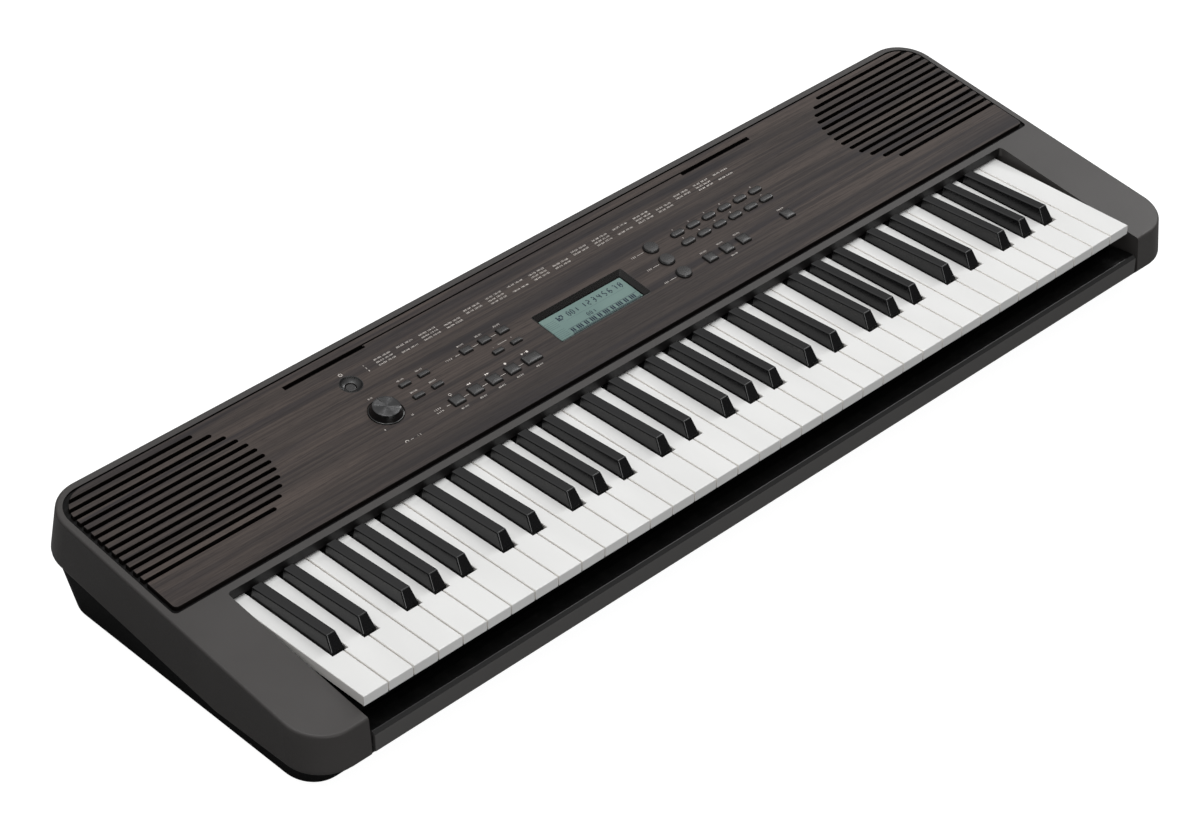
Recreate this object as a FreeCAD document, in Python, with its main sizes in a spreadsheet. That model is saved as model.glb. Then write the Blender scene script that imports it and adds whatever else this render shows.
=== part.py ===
import FreeCAD, Part
import math
import os
import re

import Sketcher

# Arranger keyboard with 61 keys, in millimetres.
# X runs to the player's right, Y to the back and Z up. The origin is on the floor, under the middle of the case.

# Driving dimensions
SIZES = {
    # case
    "case_width": 940.0,
    "case_depth": 317.0,
    "case_top_front": 61.8,
    "case_top_rear": 106.634,
    "case_wall": 2.6,
    "case_roof": 4.5,
    "side_lean": 1.6,
    "front_lean": 4.3,
    "rear_lean": 13.5,
    "rear_corner": 32.0,
    "front_corner": 33.0,
    "top_round": 2.4,
    "under_round": 5.0,
    "band_low": 27.3,
    "band_rear": 59.144,
    # lower tub
    "tub_low": 6.5,
    "tub_floor": 3.0,
    "tub_wall": 2.6,
    "tub_overlap": 4.0,
    "tub_top_inset": 4.0,
    "tub_side_lean": 9.9,
    "tub_front_set": 20.5,
    "tub_front_lean": 32.0,
    "tub_rear_set": 12.5,
    "tub_rear_top_set": 4.6,
    "tub_round": 6.5,
    "tub_rear_corner": 28.0,
    "tub_front_corner": 26.0,
    # keys
    "key_front_set": 11.3,
    "cheek_width": 53.3,
    "key_lift": 11.4,
    "key_gap": 1.2,
    "white_head": 46.9,
    "white_height": 8.6,
    "white_top": 2.4,
    "white_wall": 1.8,
    "white_round": 0.7,
    "black_width": 11.9,
    "black_clear": 1.15,
    "black_front_clear": 2.8,
    "black_top_width": 8.4,
    "black_rise_front": 11.3,
    "black_rise_rear": 7.4,
    "black_front_lean": 6.6,
    "black_rear_gap": 4.5,
    "black_round": 1.3,
    "black_shank_drop": 0.6,
    "black_shank_width": 9.0,
    "pair_offset": 3.0,
    "trio_offset": 3.3,
    "hinge_drop": 6.0,
    "barrel_radius": 3.0,
    "barrel_clear": 0.05,
    "tongue_width": 7.0,
    "tongue_thick": 2.2,
    "moving_clear": 0.3,
    # key well
    "well_gap": 3.5,
    "well_lift": 1.7,
    "well_corner": 3.0,
    # front rail
    "rail_gap": 3.2,
    "rail_low": 30.4,
    "rail_face_top": 44.8,
    "rail_crest": 47.4,
    "rail_bevel": 3.0,
    "rail_reach": 25.0,
    "rail_rear_top": 45.4,
    "rail_wall": 2.6,
    "rail_round": 1.6,
    # key chassis
    "chassis_inset": 2.0,
    "chassis_front": 16.0,
    "chassis_plate_drop": 21.0,
    "chassis_plate": 3.0,
    "chassis_rib": 3.0,
    "stop_depth": 10.0,
    "stop_drop": 18.4,
    "channel_front": 8.0,
    "channel_rear": 5.7,
    "channel_lip": 2.0,
    "channel_lip_reach": 3.0,
    "board_thick": 1.6,
    "contact_front": 95.0,
    "contact_depth": 40.0,
    "contact_gap": 4.0,
    "contact_ridge": 10.0,
    "contact_height": 6.4,
    # control panel
    "panel_thick": 4.2,
    "panel_proud": 2.16,
    "panel_groove": 3.0,
    "panel_ledge": 8.0,
    "panel_edge": 10.9,
    "panel_lip": 8.85,
    "panel_rear_edge": 19.51,
    "panel_rear_corner": 24.0,
    "panel_front_corner": 4.0,
    "panel_round": 0.6,
    # grilles and speakers
    "grille_slot": 3.7,
    "grille_set": 94.8,
    "speaker_set": 8.0,
    "speaker_rim": 6.0,
    "speaker_flange": 2.5,
    # display
    "display_width": 97.2,
    "display_border": 6.0,
    "display_depth": 8.0,
    # music rest slot
    "rest_inner": 173.0,
    "rest_outer": 253.0,
    "rest_rear_set": 9.7,
    "rest_width": 4.2,
    "rest_slit": 1.4,
    "rest_slit_depth": 1.5,
    # buttons
    "button_proud": 1.7,
    "button_gap": 0.4,
    "button_round": 0.7,
    "button_travel": 0.8,
    "button_flange": 1.0,
    "button_stem": 2.0,
    "button_pitch": 19.0,
    "number_pitch": 18.1,
    "mode_x": 177.4,
    "lesson_x": 114.6,
    "song_x": 158.1,
    "song_last_x": 80.6,
    "right_x": 116.2,
    "far_x": 206.3,
    "round_x": 85.9,
    "small_width": 10.2,
    "small_length": 4.2,
    "lesson_length": 6.3,
    "song_width": 11.2,
    "song_length": 9.5,
    "song_last_width": 15.6,
    "function_width": 10.4,
    "number_width": 13.4,
    "number_length": 6.0,
    # power button and volume knob
    "power_x": 209.4,
    "dish_radius": 9.0,
    "dish_depth": 4.0,
    "power_radius": 4.2,
    "power_sink": 3.2,
    "dish_boss": 12.0,
    "dish_boss_depth": 8.6,
    "knob_x": 208.8,
    "knob_radius": 11.6,
    "knob_base_radius": 13.8,
    "knob_rise": 6.2,
    "knob_sink": 1.6,
    "knob_gap": 0.8,
    "knob_round": 0.8,
    "knob_shaft": 3.0,
    "knob_shaft_depth": 8.4,
    # boards
    "switch_drop": 14.0,
    "switch_rise": 3.4,
    "switch_size": 6.0,
    "board_post": 3.0,
    "board_inner": 62.0,
    "board_outer": 230.0,
    "main_width": 300.0,
    "main_gap": 21.2,
    "main_rear_set": 38.5,
    "main_post": 9.0,
    # jacks
    "jack_x": 150.0,
    "jack_pitch": 28.0,
    "jack_radius": 6.0,
    "jack_bore": 3.2,
    "mini_jack_bore": 1.8,
    "power_jack_bore": 2.8,
    "jack_depth": 12.0,
    "jack_block": 16.0,
    "jack_plate": 2.0,
    "jack_margin": 14.0,
    # feet and screws
    "foot_radius": 11.0,
    "foot_end_set": 70.0,
    "foot_front_set": 50.5,
    "post_radius": 4.5,
    "cheek_post_inset": 26.0,
    "cheek_post_front": 38.0,
    "cheek_post_rear": 128.0,
    "rear_post_set": 22.5,
    "rear_post_inner": 100.0,
    "rear_post_end_set": 170.0,
    "screw_radius": 1.5,
    "screw_clear": 0.3,
    "screw_head": 3.2,
    "screw_head_rise": 1.4,
    "screw_sink": 1.6,
    "screw_length": 14.0,
    "pilot_clear": 0.05,
}

# Places given as a share of another size
SHARES = {
    # of the case's depth
    "well_share": 0.4448,
    "band_share": 0.3511,
    # of the key well's depth
    "white_share": 1.1702,
    "hinge_share": 1.3333,
    # of the panel's length, measured up from its front edge
    "upper_share": 0.5476,
    "second_share": 0.4321,
    "number_share": 0.4554,
    "round_share": 0.4147,
    "lower_share": 0.2738,
    "display_share": 0.2694,
    "display_length_share": 0.2593,
    "grille_share": 0.594,
    "grille_radius_share": 0.395,
    "power_share": 0.732,
    "knob_share": 0.4459,
    "board_front_share": 0.1598,
    "board_rear_share": 0.7843,
    # of the grille's radius
    "slot_share": 0.148,
    # of the speaker's radius
    "neck_share": 0.4,
    "magnet_share": 0.5,
    "basket_share": 0.41,
    "speaker_depth_share": 0.77,
    # of the step between two rows of buttons
    "round_radius_share": 0.357,
    # of the rear wall's height
    "jack_share": 0.4813,
}

WHITE_COUNT = 36
OCTAVES = 5
SLOTS_EACH_SIDE = 6
MODEL_MARGIN = 20

# Sizes that follow from the others
TIES = {
    "blank_top": f"case_top_rear + {MODEL_MARGIN}",
    "key_top_height": "case_top_front + key_lift",
    "panel_tilt": "atan((case_top_rear - case_top_front) / case_depth) / 1 deg",
    "key_pitch": f"(case_width - 2 * cheek_width) / {WHITE_COUNT}",
    "well_depth": "well_share * case_depth",
    "white_length": "white_share * well_depth",
    "hinge_back": "hinge_share * well_depth",
    "band_level": "band_share * case_depth",
    "band_rise": "atan((band_rear - band_low) / (case_depth - band_level)) / 1 deg",
    "panel_width": "case_width - 2 * panel_edge",
    "panel_front": "well_depth + panel_lip",
    "panel_length": "(case_depth - key_front_set - panel_front - panel_rear_edge) / cos(panel_tilt)",
    "upper_row": "upper_share * panel_length",
    "second_row": "second_share * panel_length",
    "number_row": "number_share * panel_length",
    "round_row": "round_share * panel_length",
    "lower_row": "lower_share * panel_length",
    "round_radius": "round_radius_share * (upper_row - round_row)",
    "display_front_v": "display_share * panel_length",
    "display_length": "display_length_share * panel_length",
    "grille_x": "panel_width / 2 - grille_set",
    "grille_v": "grille_share * panel_length",
    "grille_radius": "grille_radius_share * panel_length",
    "grille_pitch": "slot_share * grille_radius",
    "speaker_radius": "grille_radius - speaker_set",
    "speaker_mouth": "speaker_radius - speaker_rim",
    "speaker_neck": "neck_share * speaker_radius",
    "speaker_magnet": "magnet_share * speaker_radius",
    "speaker_basket_depth": "basket_share * speaker_radius",
    "speaker_depth": "speaker_depth_share * speaker_radius",
    "rest_v": "panel_length - rest_rear_set",
    "power_v": "power_share * panel_length",
    "knob_v": "knob_share * panel_length",
    "board_front_v": "board_front_share * panel_length",
    "board_rear_v": "board_rear_share * panel_length",
    "main_front": "key_front_set - case_depth / 2 + hinge_back + main_gap",
    "main_depth": "case_depth / 2 - main_rear_set - main_front",
    "jack_height": "band_rear + jack_share * (case_top_rear - band_rear)",
    "foot_x": "case_width / 2 - foot_end_set",
    "foot_y": "case_depth / 2 - foot_front_set",
    "rear_post_outer": "case_width / 2 - rear_post_end_set",
}

doc = FreeCAD.newDocument("arranger_keyboard")
sheet = doc.addObject("Spreadsheet::Sheet", "Sizes")
cells = {**SIZES, **SHARES, **{name: f"={text}" for name, text in TIES.items()}}
for row, (cell_name, content) in enumerate(cells.items(), start=1):
    sheet.set(f"A{row}", cell_name)
    sheet.set(f"B{row}", str(content))
    sheet.setAlias(f"B{row}", cell_name)
doc.recompute()

subparts = []


# Expressions shared by several pieces
FRONT_Y = "(-case_depth / 2)"
REAR_Y = "(case_depth / 2)"
KEY_Y = "(key_front_set - case_depth / 2)"
KEYS_HALF = f"({WHITE_COUNT} * key_pitch / 2)"
WELL_HALF = f"({KEYS_HALF} + well_gap)"
WELL_REAR_Y = f"({KEY_Y} + well_depth)"
TUB_INSIDE = "(tub_low + tub_floor)"
TUB_TOP = "(band_low + tub_overlap)"
BEND_Y = f"({FRONT_Y} + band_level)"
PANEL_Y = f"({KEY_Y} + panel_front)"
PANEL_UNDER = "(-panel_thick)"
NOTCH = "(black_width / 2 + black_clear)"


def formula(text):
    """Name the sheet in front of every size that an expression uses."""
    return re.sub(r"[a-z][a-z_]+", lambda found: sized(found.group()), str(text))


def sized(word):
    return f"Sizes.{word}" if word in cells else word


def case_top(y):
    """Height of the sloping top of the case at a depth."""
    return f"(case_top_front + (({y}) + case_depth / 2) * tan(panel_tilt))"


PANEL_Z = f"({case_top(PANEL_Y)} + panel_proud / cos(panel_tilt))"


def round_loss(lean, rise="0"):
    """How far the rounded lower edge draws a leaning wall in from its sharp corner."""
    return f"(under_round * ((sin({lean}) + cos({rise})) / cos({lean} - {rise}) - 1))"


def rear_wall(z):
    """Depth of the leaning rear wall at a height."""
    return f"({REAR_Y} + {round_loss('rear_lean', 'band_rise')} - ({z} - band_rear) * tan(rear_lean))"


def front_wall(z):
    """Depth of the leaning front wall at a height."""
    return f"({FRONT_Y} - {round_loss('front_lean')} + ({z} - band_low) * tan(front_lean))"


def side_wall(z):
    """Half width between the leaning side walls at a height."""
    return f"(case_width / 2 + {round_loss('side_lean')} - ({z} - band_low) * tan(side_lean))"


def bind(item, name, text):
    item.setExpression(name, formula(text))


def place(item, x="0", y="0", z="0", turn=None):
    """Put an object at a bound place, turned about X by a bound angle."""
    item.Placement = FreeCAD.Placement(FreeCAD.Vector(), FreeCAD.Rotation(FreeCAD.Vector(1, 0, 0), 1 if turn else 0))
    bind(item, "Placement.Base.x", x)
    bind(item, "Placement.Base.y", y)
    bind(item, "Placement.Base.z", z)
    if turn:
        bind(item, "Placement.Rotation.Angle", turn)
    return item


def place_on_panel(item, x="0", v="0", w="0"):
    """Put an object on the sloping panel: x across, v up the slope, w out of the wood surface."""
    y = f"{PANEL_Y} + ({v}) * cos(panel_tilt) - ({w}) * sin(panel_tilt)"
    z = f"{PANEL_Z} + ({v}) * sin(panel_tilt) + ({w}) * cos(panel_tilt)"
    return place(item, x, y, z, "panel_tilt")


def new_body(name):
    return doc.addObject("PartDesign::Body", name)


def origin_plane(body, role):
    return next(item for item in body.Origin.OriginFeatures if item.Role == role)


def sketch(body, name, role, lift=None):
    """An empty sketch on one of the body's own origin planes."""
    drawing = body.newObject("Sketcher::SketchObject", name)
    drawing.AttachmentSupport = (origin_plane(body, role), [""])
    drawing.MapMode = "FlatFace"
    if lift is not None:
        bind(drawing, "AttachmentOffset.Base.z", lift)
    return drawing


def fix_points(drawing, places):
    """Hold points of curves at bound distances from the sketch's origin."""
    rules = []
    distances = []
    for curve, end, x, y in places:
        for kind, distance in (("DistanceX", x), ("DistanceY", y)):
            rules.append(Sketcher.Constraint(kind, -1, 1, curve, end, 1.0))
            distances.append(distance)
    for index, distance in zip(drawing.addConstraint(rules), distances):
        bind(drawing, f"Constraints[{index}]", distance)


def outline(drawing, points):
    """A closed outline of straight lines through bound points."""
    count = len(points)
    first = drawing.GeometryCount
    turn = 2 * math.pi / count
    ring = [FreeCAD.Vector(math.cos(turn * step), math.sin(turn * step), 0) for step in range(count)]
    drawing.addGeometry([Part.LineSegment(ring[step], ring[(step + 1) % count]) for step in range(count)])
    drawing.addConstraint([
        Sketcher.Constraint("Coincident", first + step, 2, first + (step + 1) % count, 1) for step in range(count)
    ])
    fix_points(drawing, [(first + step, 1, x, y) for step, (x, y) in enumerate(points)])


def rectangle(drawing, left, right, low, high):
    outline(drawing, [(left, low), (right, low), (right, high), (left, high)])


def circle(drawing, x, y, radius):
    curve = drawing.addGeometry(Part.Circle(FreeCAD.Vector(), FreeCAD.Vector(0, 0, 1), 1.0))
    fix_points(drawing, [(curve, 3, x, y)])
    index = drawing.addConstraint(Sketcher.Constraint("Radius", curve, 1.0))
    bind(drawing, f"Constraints[{index}]", radius)


def refresh(body):
    """Bring one body up to date."""
    doc.recompute([*body.Group, body])


def pad(body, drawing, length, downward=False, both=False):
    feature = body.newObject("PartDesign::Pad", "Pad")
    feature.Profile = drawing
    feature.Reversed = downward
    feature.SideType = "Symmetric" if both else "One side"
    bind(feature, "Length", length)
    return feature


def pocket(body, drawing, length=None, upward=False, both=False):
    """Cut a sketch out of a body, right through unless a depth is given."""
    feature = body.newObject("PartDesign::Pocket", "Pocket")
    feature.Profile = drawing
    feature.Reversed = upward
    feature.SideType = "Symmetric" if both else "One side"
    if length is None:
        feature.Type = "ThroughAll"
    else:
        bind(feature, "Length", length)
    return feature


def round_edges(body, radius, wanted):
    """Fillet the edges of a body's last feature that a test picks."""
    refresh(body)
    base = body.Tip
    names = [f"Edge{index}" for index, edge in enumerate(base.Shape.Edges, start=1) if wanted(edge)]
    feature = body.newObject("PartDesign::Fillet", "Fillet")
    feature.Base = (base, names)
    bind(feature, "Radius", radius)
    return feature


def upright(edge):
    box = edge.BoundBox
    return box.ZLength > max(box.XLength, box.YLength)


def prism(name, points, role, length, both=False, lift=None):
    """A body made by padding one straight-sided outline."""
    body = new_body(name)
    drawing = sketch(body, f"{name}_outline", role, lift)
    outline(drawing, points)
    pad(body, drawing, length, both=both)
    return body


def block(name, left, right, front, rear, low, high):
    """An upright box between bound faces."""
    box = doc.addObject("Part::Box", name)
    bind(box, "Length", f"({right}) - ({left})")
    bind(box, "Width", f"({rear}) - ({front})")
    bind(box, "Height", f"({high}) - ({low})")
    return place(box, left, front, low)


def panel_block(name, left, right, front, rear, low, high):
    """A box that lies in the panel's own axes."""
    box = doc.addObject("Part::Box", name)
    bind(box, "Length", f"({right}) - ({left})")
    bind(box, "Width", f"({rear}) - ({front})")
    bind(box, "Height", f"({high}) - ({low})")
    return place_on_panel(box, left, front, low)


def rod(name, radius, height):
    post = doc.addObject("Part::Cylinder", name)
    bind(post, "Radius", radius)
    bind(post, "Height", height)
    return post


def cut(name, base, tools):
    """Take several tools away from one object."""
    tool = tools[0] if len(tools) == 1 else fuse(f"{name}_tools", tools)
    feature = doc.addObject("Part::Cut", name)
    feature.Base = base
    feature.Tool = tool
    return feature


def fuse(name, items):
    feature = doc.addObject("Part::MultiFuse", name)
    feature.Shapes = items
    return feature


def collect(name, items):
    """Separate solids that share one node."""
    feature = doc.addObject("Part::Compound", name)
    feature.Links = items
    return feature


def copy_of(name, form):
    """A form used again, ready for a place of its own."""
    return collect(name, [form])


def keep(item, label):
    item.Label = label
    subparts.append(item)
    return item


def mirrored(x):
    """The same distance to the left and to the right of the middle."""
    return (f"(-({x}))", f"({x})")


def shape_wedge(wedge, low, high):
    """Bind a wedge's lower and upper ends, each given by height, half width, front and rear."""
    for mark, (height, half, front, rear) in (("", low), ("2", high)):
        bind(wedge, f"X{mark}min", f"-({half})")
        bind(wedge, f"X{mark}max", half)
        bind(wedge, f"Z{mark}min", f"-({rear})")
        bind(wedge, f"Z{mark}max", f"-({front})")
        bind(wedge, "Ymax" if mark else "Ymin", height)


# Case forms
def leaning_block(name, inset):
    """The case's blank, whose four walls lean in towards the top, set in all round by a distance."""
    blank = new_body(name)
    wedge = blank.newObject("PartDesign::AdditiveWedge", f"{name}_wedge")
    wedge.Placement = FreeCAD.Placement(FreeCAD.Vector(), FreeCAD.Rotation(FreeCAD.Vector(1, 0, 0), 90))
    ends = [
        (z, f"{side_wall(z)} - {inset}", f"{front_wall(z)} + {inset}", f"{rear_wall(z)} - {inset}")
        for z in ("0", "blank_top")
    ]
    shape_wedge(wedge, *ends)
    return blank


def round_corners(blank, front_radius, rear_radius):
    round_edges(blank, front_radius, lambda edge: upright(edge) and edge.CenterOfMass.y < 0)
    round_edges(blank, rear_radius, lambda edge: upright(edge) and edge.CenterOfMass.y > 0)


def trim_above(blank, drop):
    """Cut a blank off along the sloping top, a distance under it."""
    ahead = f"({FRONT_Y} - {MODEL_MARGIN})"
    behind = f"({REAR_Y} + {MODEL_MARGIN})"
    above = f"(blank_top + {MODEL_MARGIN})"
    drawing = sketch(blank, f"{blank.Name}_top_line", "YZ_Plane")
    outline(drawing, [
        (ahead, f"{case_top(ahead)} - ({drop})"),
        (behind, f"{case_top(behind)} - ({drop})"),
        (behind, above),
        (ahead, above),
    ])
    pocket(blank, drawing, both=True)


def band_line(lift):
    """The lower edge of the upper case in side view, from front to back, raised by a distance."""
    ahead = f"({FRONT_Y} - {MODEL_MARGIN})"
    behind = f"({REAR_Y} + {MODEL_MARGIN})"
    rise = f"(({behind}) - {BEND_Y}) * tan(band_rise)"
    return [
        (ahead, f"band_low + ({lift})"),
        (BEND_Y, f"band_low + ({lift})"),
        (behind, f"band_low + ({lift}) + {rise}"),
    ]


def make_upper_case():
    """Top shell: end cheeks, key well, panel seat and rim, open underneath."""
    outer = leaning_block("upper_outer", "0")
    round_corners(outer, "front_corner", "rear_corner")
    trim_above(outer, "0")
    drawing = sketch(outer, "upper_band_line", "YZ_Plane")
    below = f"(-{MODEL_MARGIN})"
    line = band_line("0")
    outline(drawing, [(line[0][0], below), *line, (line[2][0], below)][::-1])
    pocket(outer, drawing, both=True)
    refresh(outer)
    top = max(outer.Shape.Faces, key=lambda face: face.CenterOfMass.z)
    round_edges(outer, "top_round", lambda edge: lies_on(edge, top))
    refresh(outer)
    under = [face for face in outer.Shape.Faces if face.normalAt(0, 0).z < -0.9]
    round_edges(outer, "under_round", lambda edge: lies_on_one(edge, under) and not lies_on_all(edge, under))

    hollow = leaning_block("upper_hollow", "case_wall")
    round_corners(hollow, "front_corner - case_wall", "rear_corner - case_wall")
    trim_above(hollow, "case_roof / cos(panel_tilt)")
    wall_half = f"({WELL_HALF} + case_wall)"
    ahead = f"({FRONT_Y} - {MODEL_MARGIN})"
    keep_well = block(
        "well_walls", f"-{wall_half}", wall_half, ahead, f"{WELL_REAR_Y} + case_wall", f"-{MODEL_MARGIN}", "blank_top"
    )
    hollow_cut = cut("upper_hollow_cut", hollow, [keep_well])

    well = prism(
        "key_well",
        [(f"-{WELL_HALF}", ahead), (WELL_HALF, ahead), (WELL_HALF, WELL_REAR_Y), (f"-{WELL_HALF}", WELL_REAR_Y)],
        "XY_Plane",
        "blank_top",
    )
    round_edges(well, "well_corner", lambda edge: upright(edge) and edge.CenterOfMass.y > -SIZES["case_depth"] / 4)
    passage = block(
        "key_passage", f"-{WELL_HALF}", WELL_HALF, f"{WELL_REAR_Y} - well_corner", f"{WELL_REAR_Y} + 2 * case_wall",
        "0", "key_top_height + well_lift",
    )
    cheek_feet = block(
        "cheek_feet", f"-{wall_half}", wall_half, f"{FRONT_Y} + 1.5 * case_wall", WELL_REAR_Y,
        "0", f"{TUB_TOP} + moving_clear",
    )
    seat = panel_plate("panel_seat", "panel_groove", "panel_thick", "panel_thick")
    round_edges(seat, "panel_front_corner", lambda edge: upright(edge) and edge.CenterOfMass.y < 1)
    place_on_panel(seat, w="0")
    window = panel_plate("panel_window", "-panel_ledge", "blank_top", "blank_top / 2")
    place_on_panel(window, w="0")
    jack_holes = [
        jack_rod(f"jack_hole_{index}", index, "jack_radius + moving_clear", "-jack_block", "jack_depth")
        for index in range(len(JACK_BORES))
    ]
    shell = cut("upper_shell", outer, [hollow_cut, well, passage, cheek_feet, seat, window, *jack_holes])

    posts = []
    pilots = []
    for index, (x, y) in enumerate(screw_places()):
        post = rod(f"case_post_{index}", "post_radius", f"{case_top(y)} - case_roof - {TUB_INSIDE} + panel_proud / 2")
        posts.append(place(post, x, y, TUB_INSIDE))
        pilot = rod(f"pilot_{index}", "screw_radius + pilot_clear", "screw_length + screw_sink")
        pilots.append(place(pilot, x, y, "tub_low"))
    posted = fuse("upper_posted", [shell, *posts])
    keep(cut("upper_case_solid", posted, pilots), "upper_case")


def lies_on(edge, face):
    """True where both ends and the middle of an edge lie on a face."""
    ends = [vertex.Point for vertex in edge.Vertexes]
    middle = edge.valueAt((edge.FirstParameter + edge.LastParameter) / 2)
    return all(face.distToShape(Part.Vertex(point))[0] < 1e-4 for point in [*ends, middle])


def lies_on_one(edge, faces):
    return any(lies_on(edge, face) for face in faces)


def lies_on_all(edge, faces):
    return all(lies_on(edge, face) for face in faces)


def panel_plate(name, grow, thick, drop):
    """The panel's outline, grown all round, padded up from a depth under the wood surface."""
    half = f"(panel_width / 2 + ({grow}))"
    plate = prism(
        name,
        [
            (f"-{half}", f"-({grow})"),
            (half, f"-({grow})"),
            (half, f"panel_length + ({grow})"),
            (f"-{half}", f"panel_length + ({grow})"),
        ],
        "XY_Plane",
        f"({thick}) + {MODEL_MARGIN}" if grow == "panel_groove" else thick,
        lift=f"-({drop})",
    )
    round_edges(plate, "panel_rear_corner", lambda edge: upright(edge) and edge.CenterOfMass.y > 1)
    return plate


def screw_places():
    """Screw axes in the cheeks and along the back."""
    cheek_x = "(case_width / 2 - cheek_post_inset)"
    places = []
    for x in mirrored(cheek_x):
        places.append((x, f"({FRONT_Y} + cheek_post_front)"))
        places.append((x, f"({FRONT_Y} + cheek_post_rear)"))
    for distance in ("rear_post_inner", "rear_post_outer"):
        for x in mirrored(distance):
            places.append((x, f"({REAR_Y} - rear_post_set)"))
    return places


def tub_blank(name, inset, low, lift):
    """Tub form up to its sloping top line; its sides lean in below that line."""
    front = f"({FRONT_Y} + tub_front_set + ({inset}))"
    rear = f"({REAR_Y} - tub_rear_set - ({inset}))"
    rear_top = f"({REAR_Y} - tub_rear_top_set - ({inset}))"
    front_high = f"(band_low + ({lift}))"
    rear_high = f"({front_high} + ({rear_top} - {BEND_Y}) * tan(band_rise))"
    front_top = f"({front} - ({front_high} - tub_low) * tan(tub_front_lean))"
    body = prism(
        name,
        [(front, low), (rear, low), (rear_top, rear_high), (BEND_Y, front_high), (front_top, front_high)],
        "YZ_Plane",
        "case_width",
        both=True,
    )
    sides = sketch(body, f"{name}_sides", "XZ_Plane")
    sides.AttachmentOffset = FreeCAD.Placement(FreeCAD.Vector(), FreeCAD.Rotation(FreeCAD.Vector(1, 0, 0), 1))
    bind(sides, "AttachmentOffset.Base.y", "band_low")
    bind(sides, "AttachmentOffset.Base.z", "case_depth / 2")
    bind(sides, "AttachmentOffset.Rotation.Angle", "atan((band_rear - band_low) / case_depth)")
    half = f"(case_width / 2 - tub_top_inset - ({inset}))"
    lean = "blank_top * tan(tub_side_lean)"
    for sign in ("-", ""):
        outline(sides, [
            (f"{sign}({half} - {lean})", "-blank_top"),
            (f"{sign}case_width", "-blank_top"),
            (f"{sign}case_width", "blank_top"),
            (f"{sign}({half} + {lean})", "blank_top"),
        ])
    pocket(body, sides, both=True)
    round_edges(body, f"tub_front_corner - ({inset})", lambda edge: tub_corner(edge) and edge.CenterOfMass.y < 0)
    round_edges(body, f"tub_rear_corner - ({inset})", lambda edge: tub_corner(edge) and edge.CenterOfMass.y > 0)
    return body


def tub_corner(edge):
    """True for the four edges where the tub's sides meet its front and back."""
    box = edge.BoundBox
    return box.ZLength > max(box.XLength, box.YLength) and abs(edge.CenterOfMass.x) > SIZES["case_width"] / 4


def make_lower_case():
    """Tub that closes the case from below, with posts for the main board and holes for the screws."""
    outer = tub_blank("tub_outer", "0", "tub_low", "tub_overlap")
    refresh(outer)
    floor = min(outer.Shape.Faces, key=lambda face: face.CenterOfMass.z)
    round_edges(outer, "tub_round", lambda edge: lies_on(edge, floor))
    hollow = tub_blank("tub_hollow", "tub_wall", TUB_INSIDE, "2 * tub_overlap")
    tools = [hollow]
    for index, (x, y) in enumerate(screw_places()):
        hole = rod(f"screw_hole_{index}", "screw_radius + screw_clear", "tub_floor + tub_round")
        tools.append(place(hole, x, y, "tub_low"))
        sink = rod(f"screw_sink_{index}", "screw_head + screw_clear", f"screw_sink + {MODEL_MARGIN}")
        tools.append(place(sink, x, y, f"tub_low - {MODEL_MARGIN}"))
    shell = cut("tub_shell", outer, tools)
    posts = []
    for side, x in enumerate(mirrored("main_width / 2 - 2 * board_post")):
        for end, y in enumerate(("main_front + 2 * board_post", "main_front + main_depth - 2 * board_post")):
            post = rod(f"main_post_{side}_{end}", "board_post", "main_post + tub_floor / 2")
            posts.append(place(post, x, y, f"{TUB_INSIDE} - tub_floor / 2"))
    keep(fuse("lower_case_solid", [shell, *posts]), "lower_case")


# Front rail
def make_front_rail():
    """Key slip: bevelled face in front, a shelf under the key fronts and a web that stands on the tub."""
    web_front = f"({FRONT_Y} + tub_front_set - ({TUB_TOP} - tub_low) * tan(tub_front_lean) + moving_clear)"
    web_rear = f"({web_front} + tub_wall)"
    shelf_rear = f"({FRONT_Y} + rail_reach)"
    shelf_low = "(rail_rear_top - rail_wall)"
    face = f"({FRONT_Y} + moving_clear)"
    rail = prism(
        "front_rail_body",
        [
            (face, "rail_low"),
            (f"{face} + rail_wall", "rail_low"),
            (f"{face} + rail_wall", shelf_low),
            (web_front, shelf_low),
            (web_front, TUB_TOP),
            (web_rear, TUB_TOP),
            (web_rear, shelf_low),
            (shelf_rear, shelf_low),
            (shelf_rear, "rail_rear_top"),
            (f"{face} + 2 * rail_bevel", "rail_crest"),
            (f"{face} + rail_bevel", "rail_crest"),
            (face, "rail_face_top"),
        ],
        "YZ_Plane",
        f"2 * ({WELL_HALF} - rail_gap)",
        both=True,
    )
    crest = SIZES["rail_face_top"] - SIZES["rail_wall"] / 2
    round_edges(rail, "rail_round", lambda edge: edge.BoundBox.XLength > 100 and edge.CenterOfMass.z > crest + 1)
    keep(rail, "front_rail")


# Keys
WHITE_STEPS = "CDEFGAB"
NOTCH_RIGHT = {"C": "-pair_offset", "D": "pair_offset", "F": "-trio_offset", "G": "0", "A": "trio_offset"}
NOTCH_LEFT = {"D": "-pair_offset", "E": "pair_offset", "G": "-trio_offset", "A": "0", "B": "trio_offset"}
HINGE_Z = "(-hinge_drop)"


def tail_edges(index):
    """Left and right edges of a white key behind its head, from the left edge of the key's own step."""
    step = WHITE_STEPS[index % len(WHITE_STEPS)]
    left = "key_gap / 2"
    right = "key_pitch - key_gap / 2"
    if step in NOTCH_LEFT:
        left = f"{NOTCH_LEFT[step]} + {NOTCH}"
    if step in NOTCH_RIGHT and index < WHITE_COUNT - 1:
        right = f"key_pitch + {NOTCH_RIGHT[step]} - {NOTCH}"
    return f"({left})", f"({right})"


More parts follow.
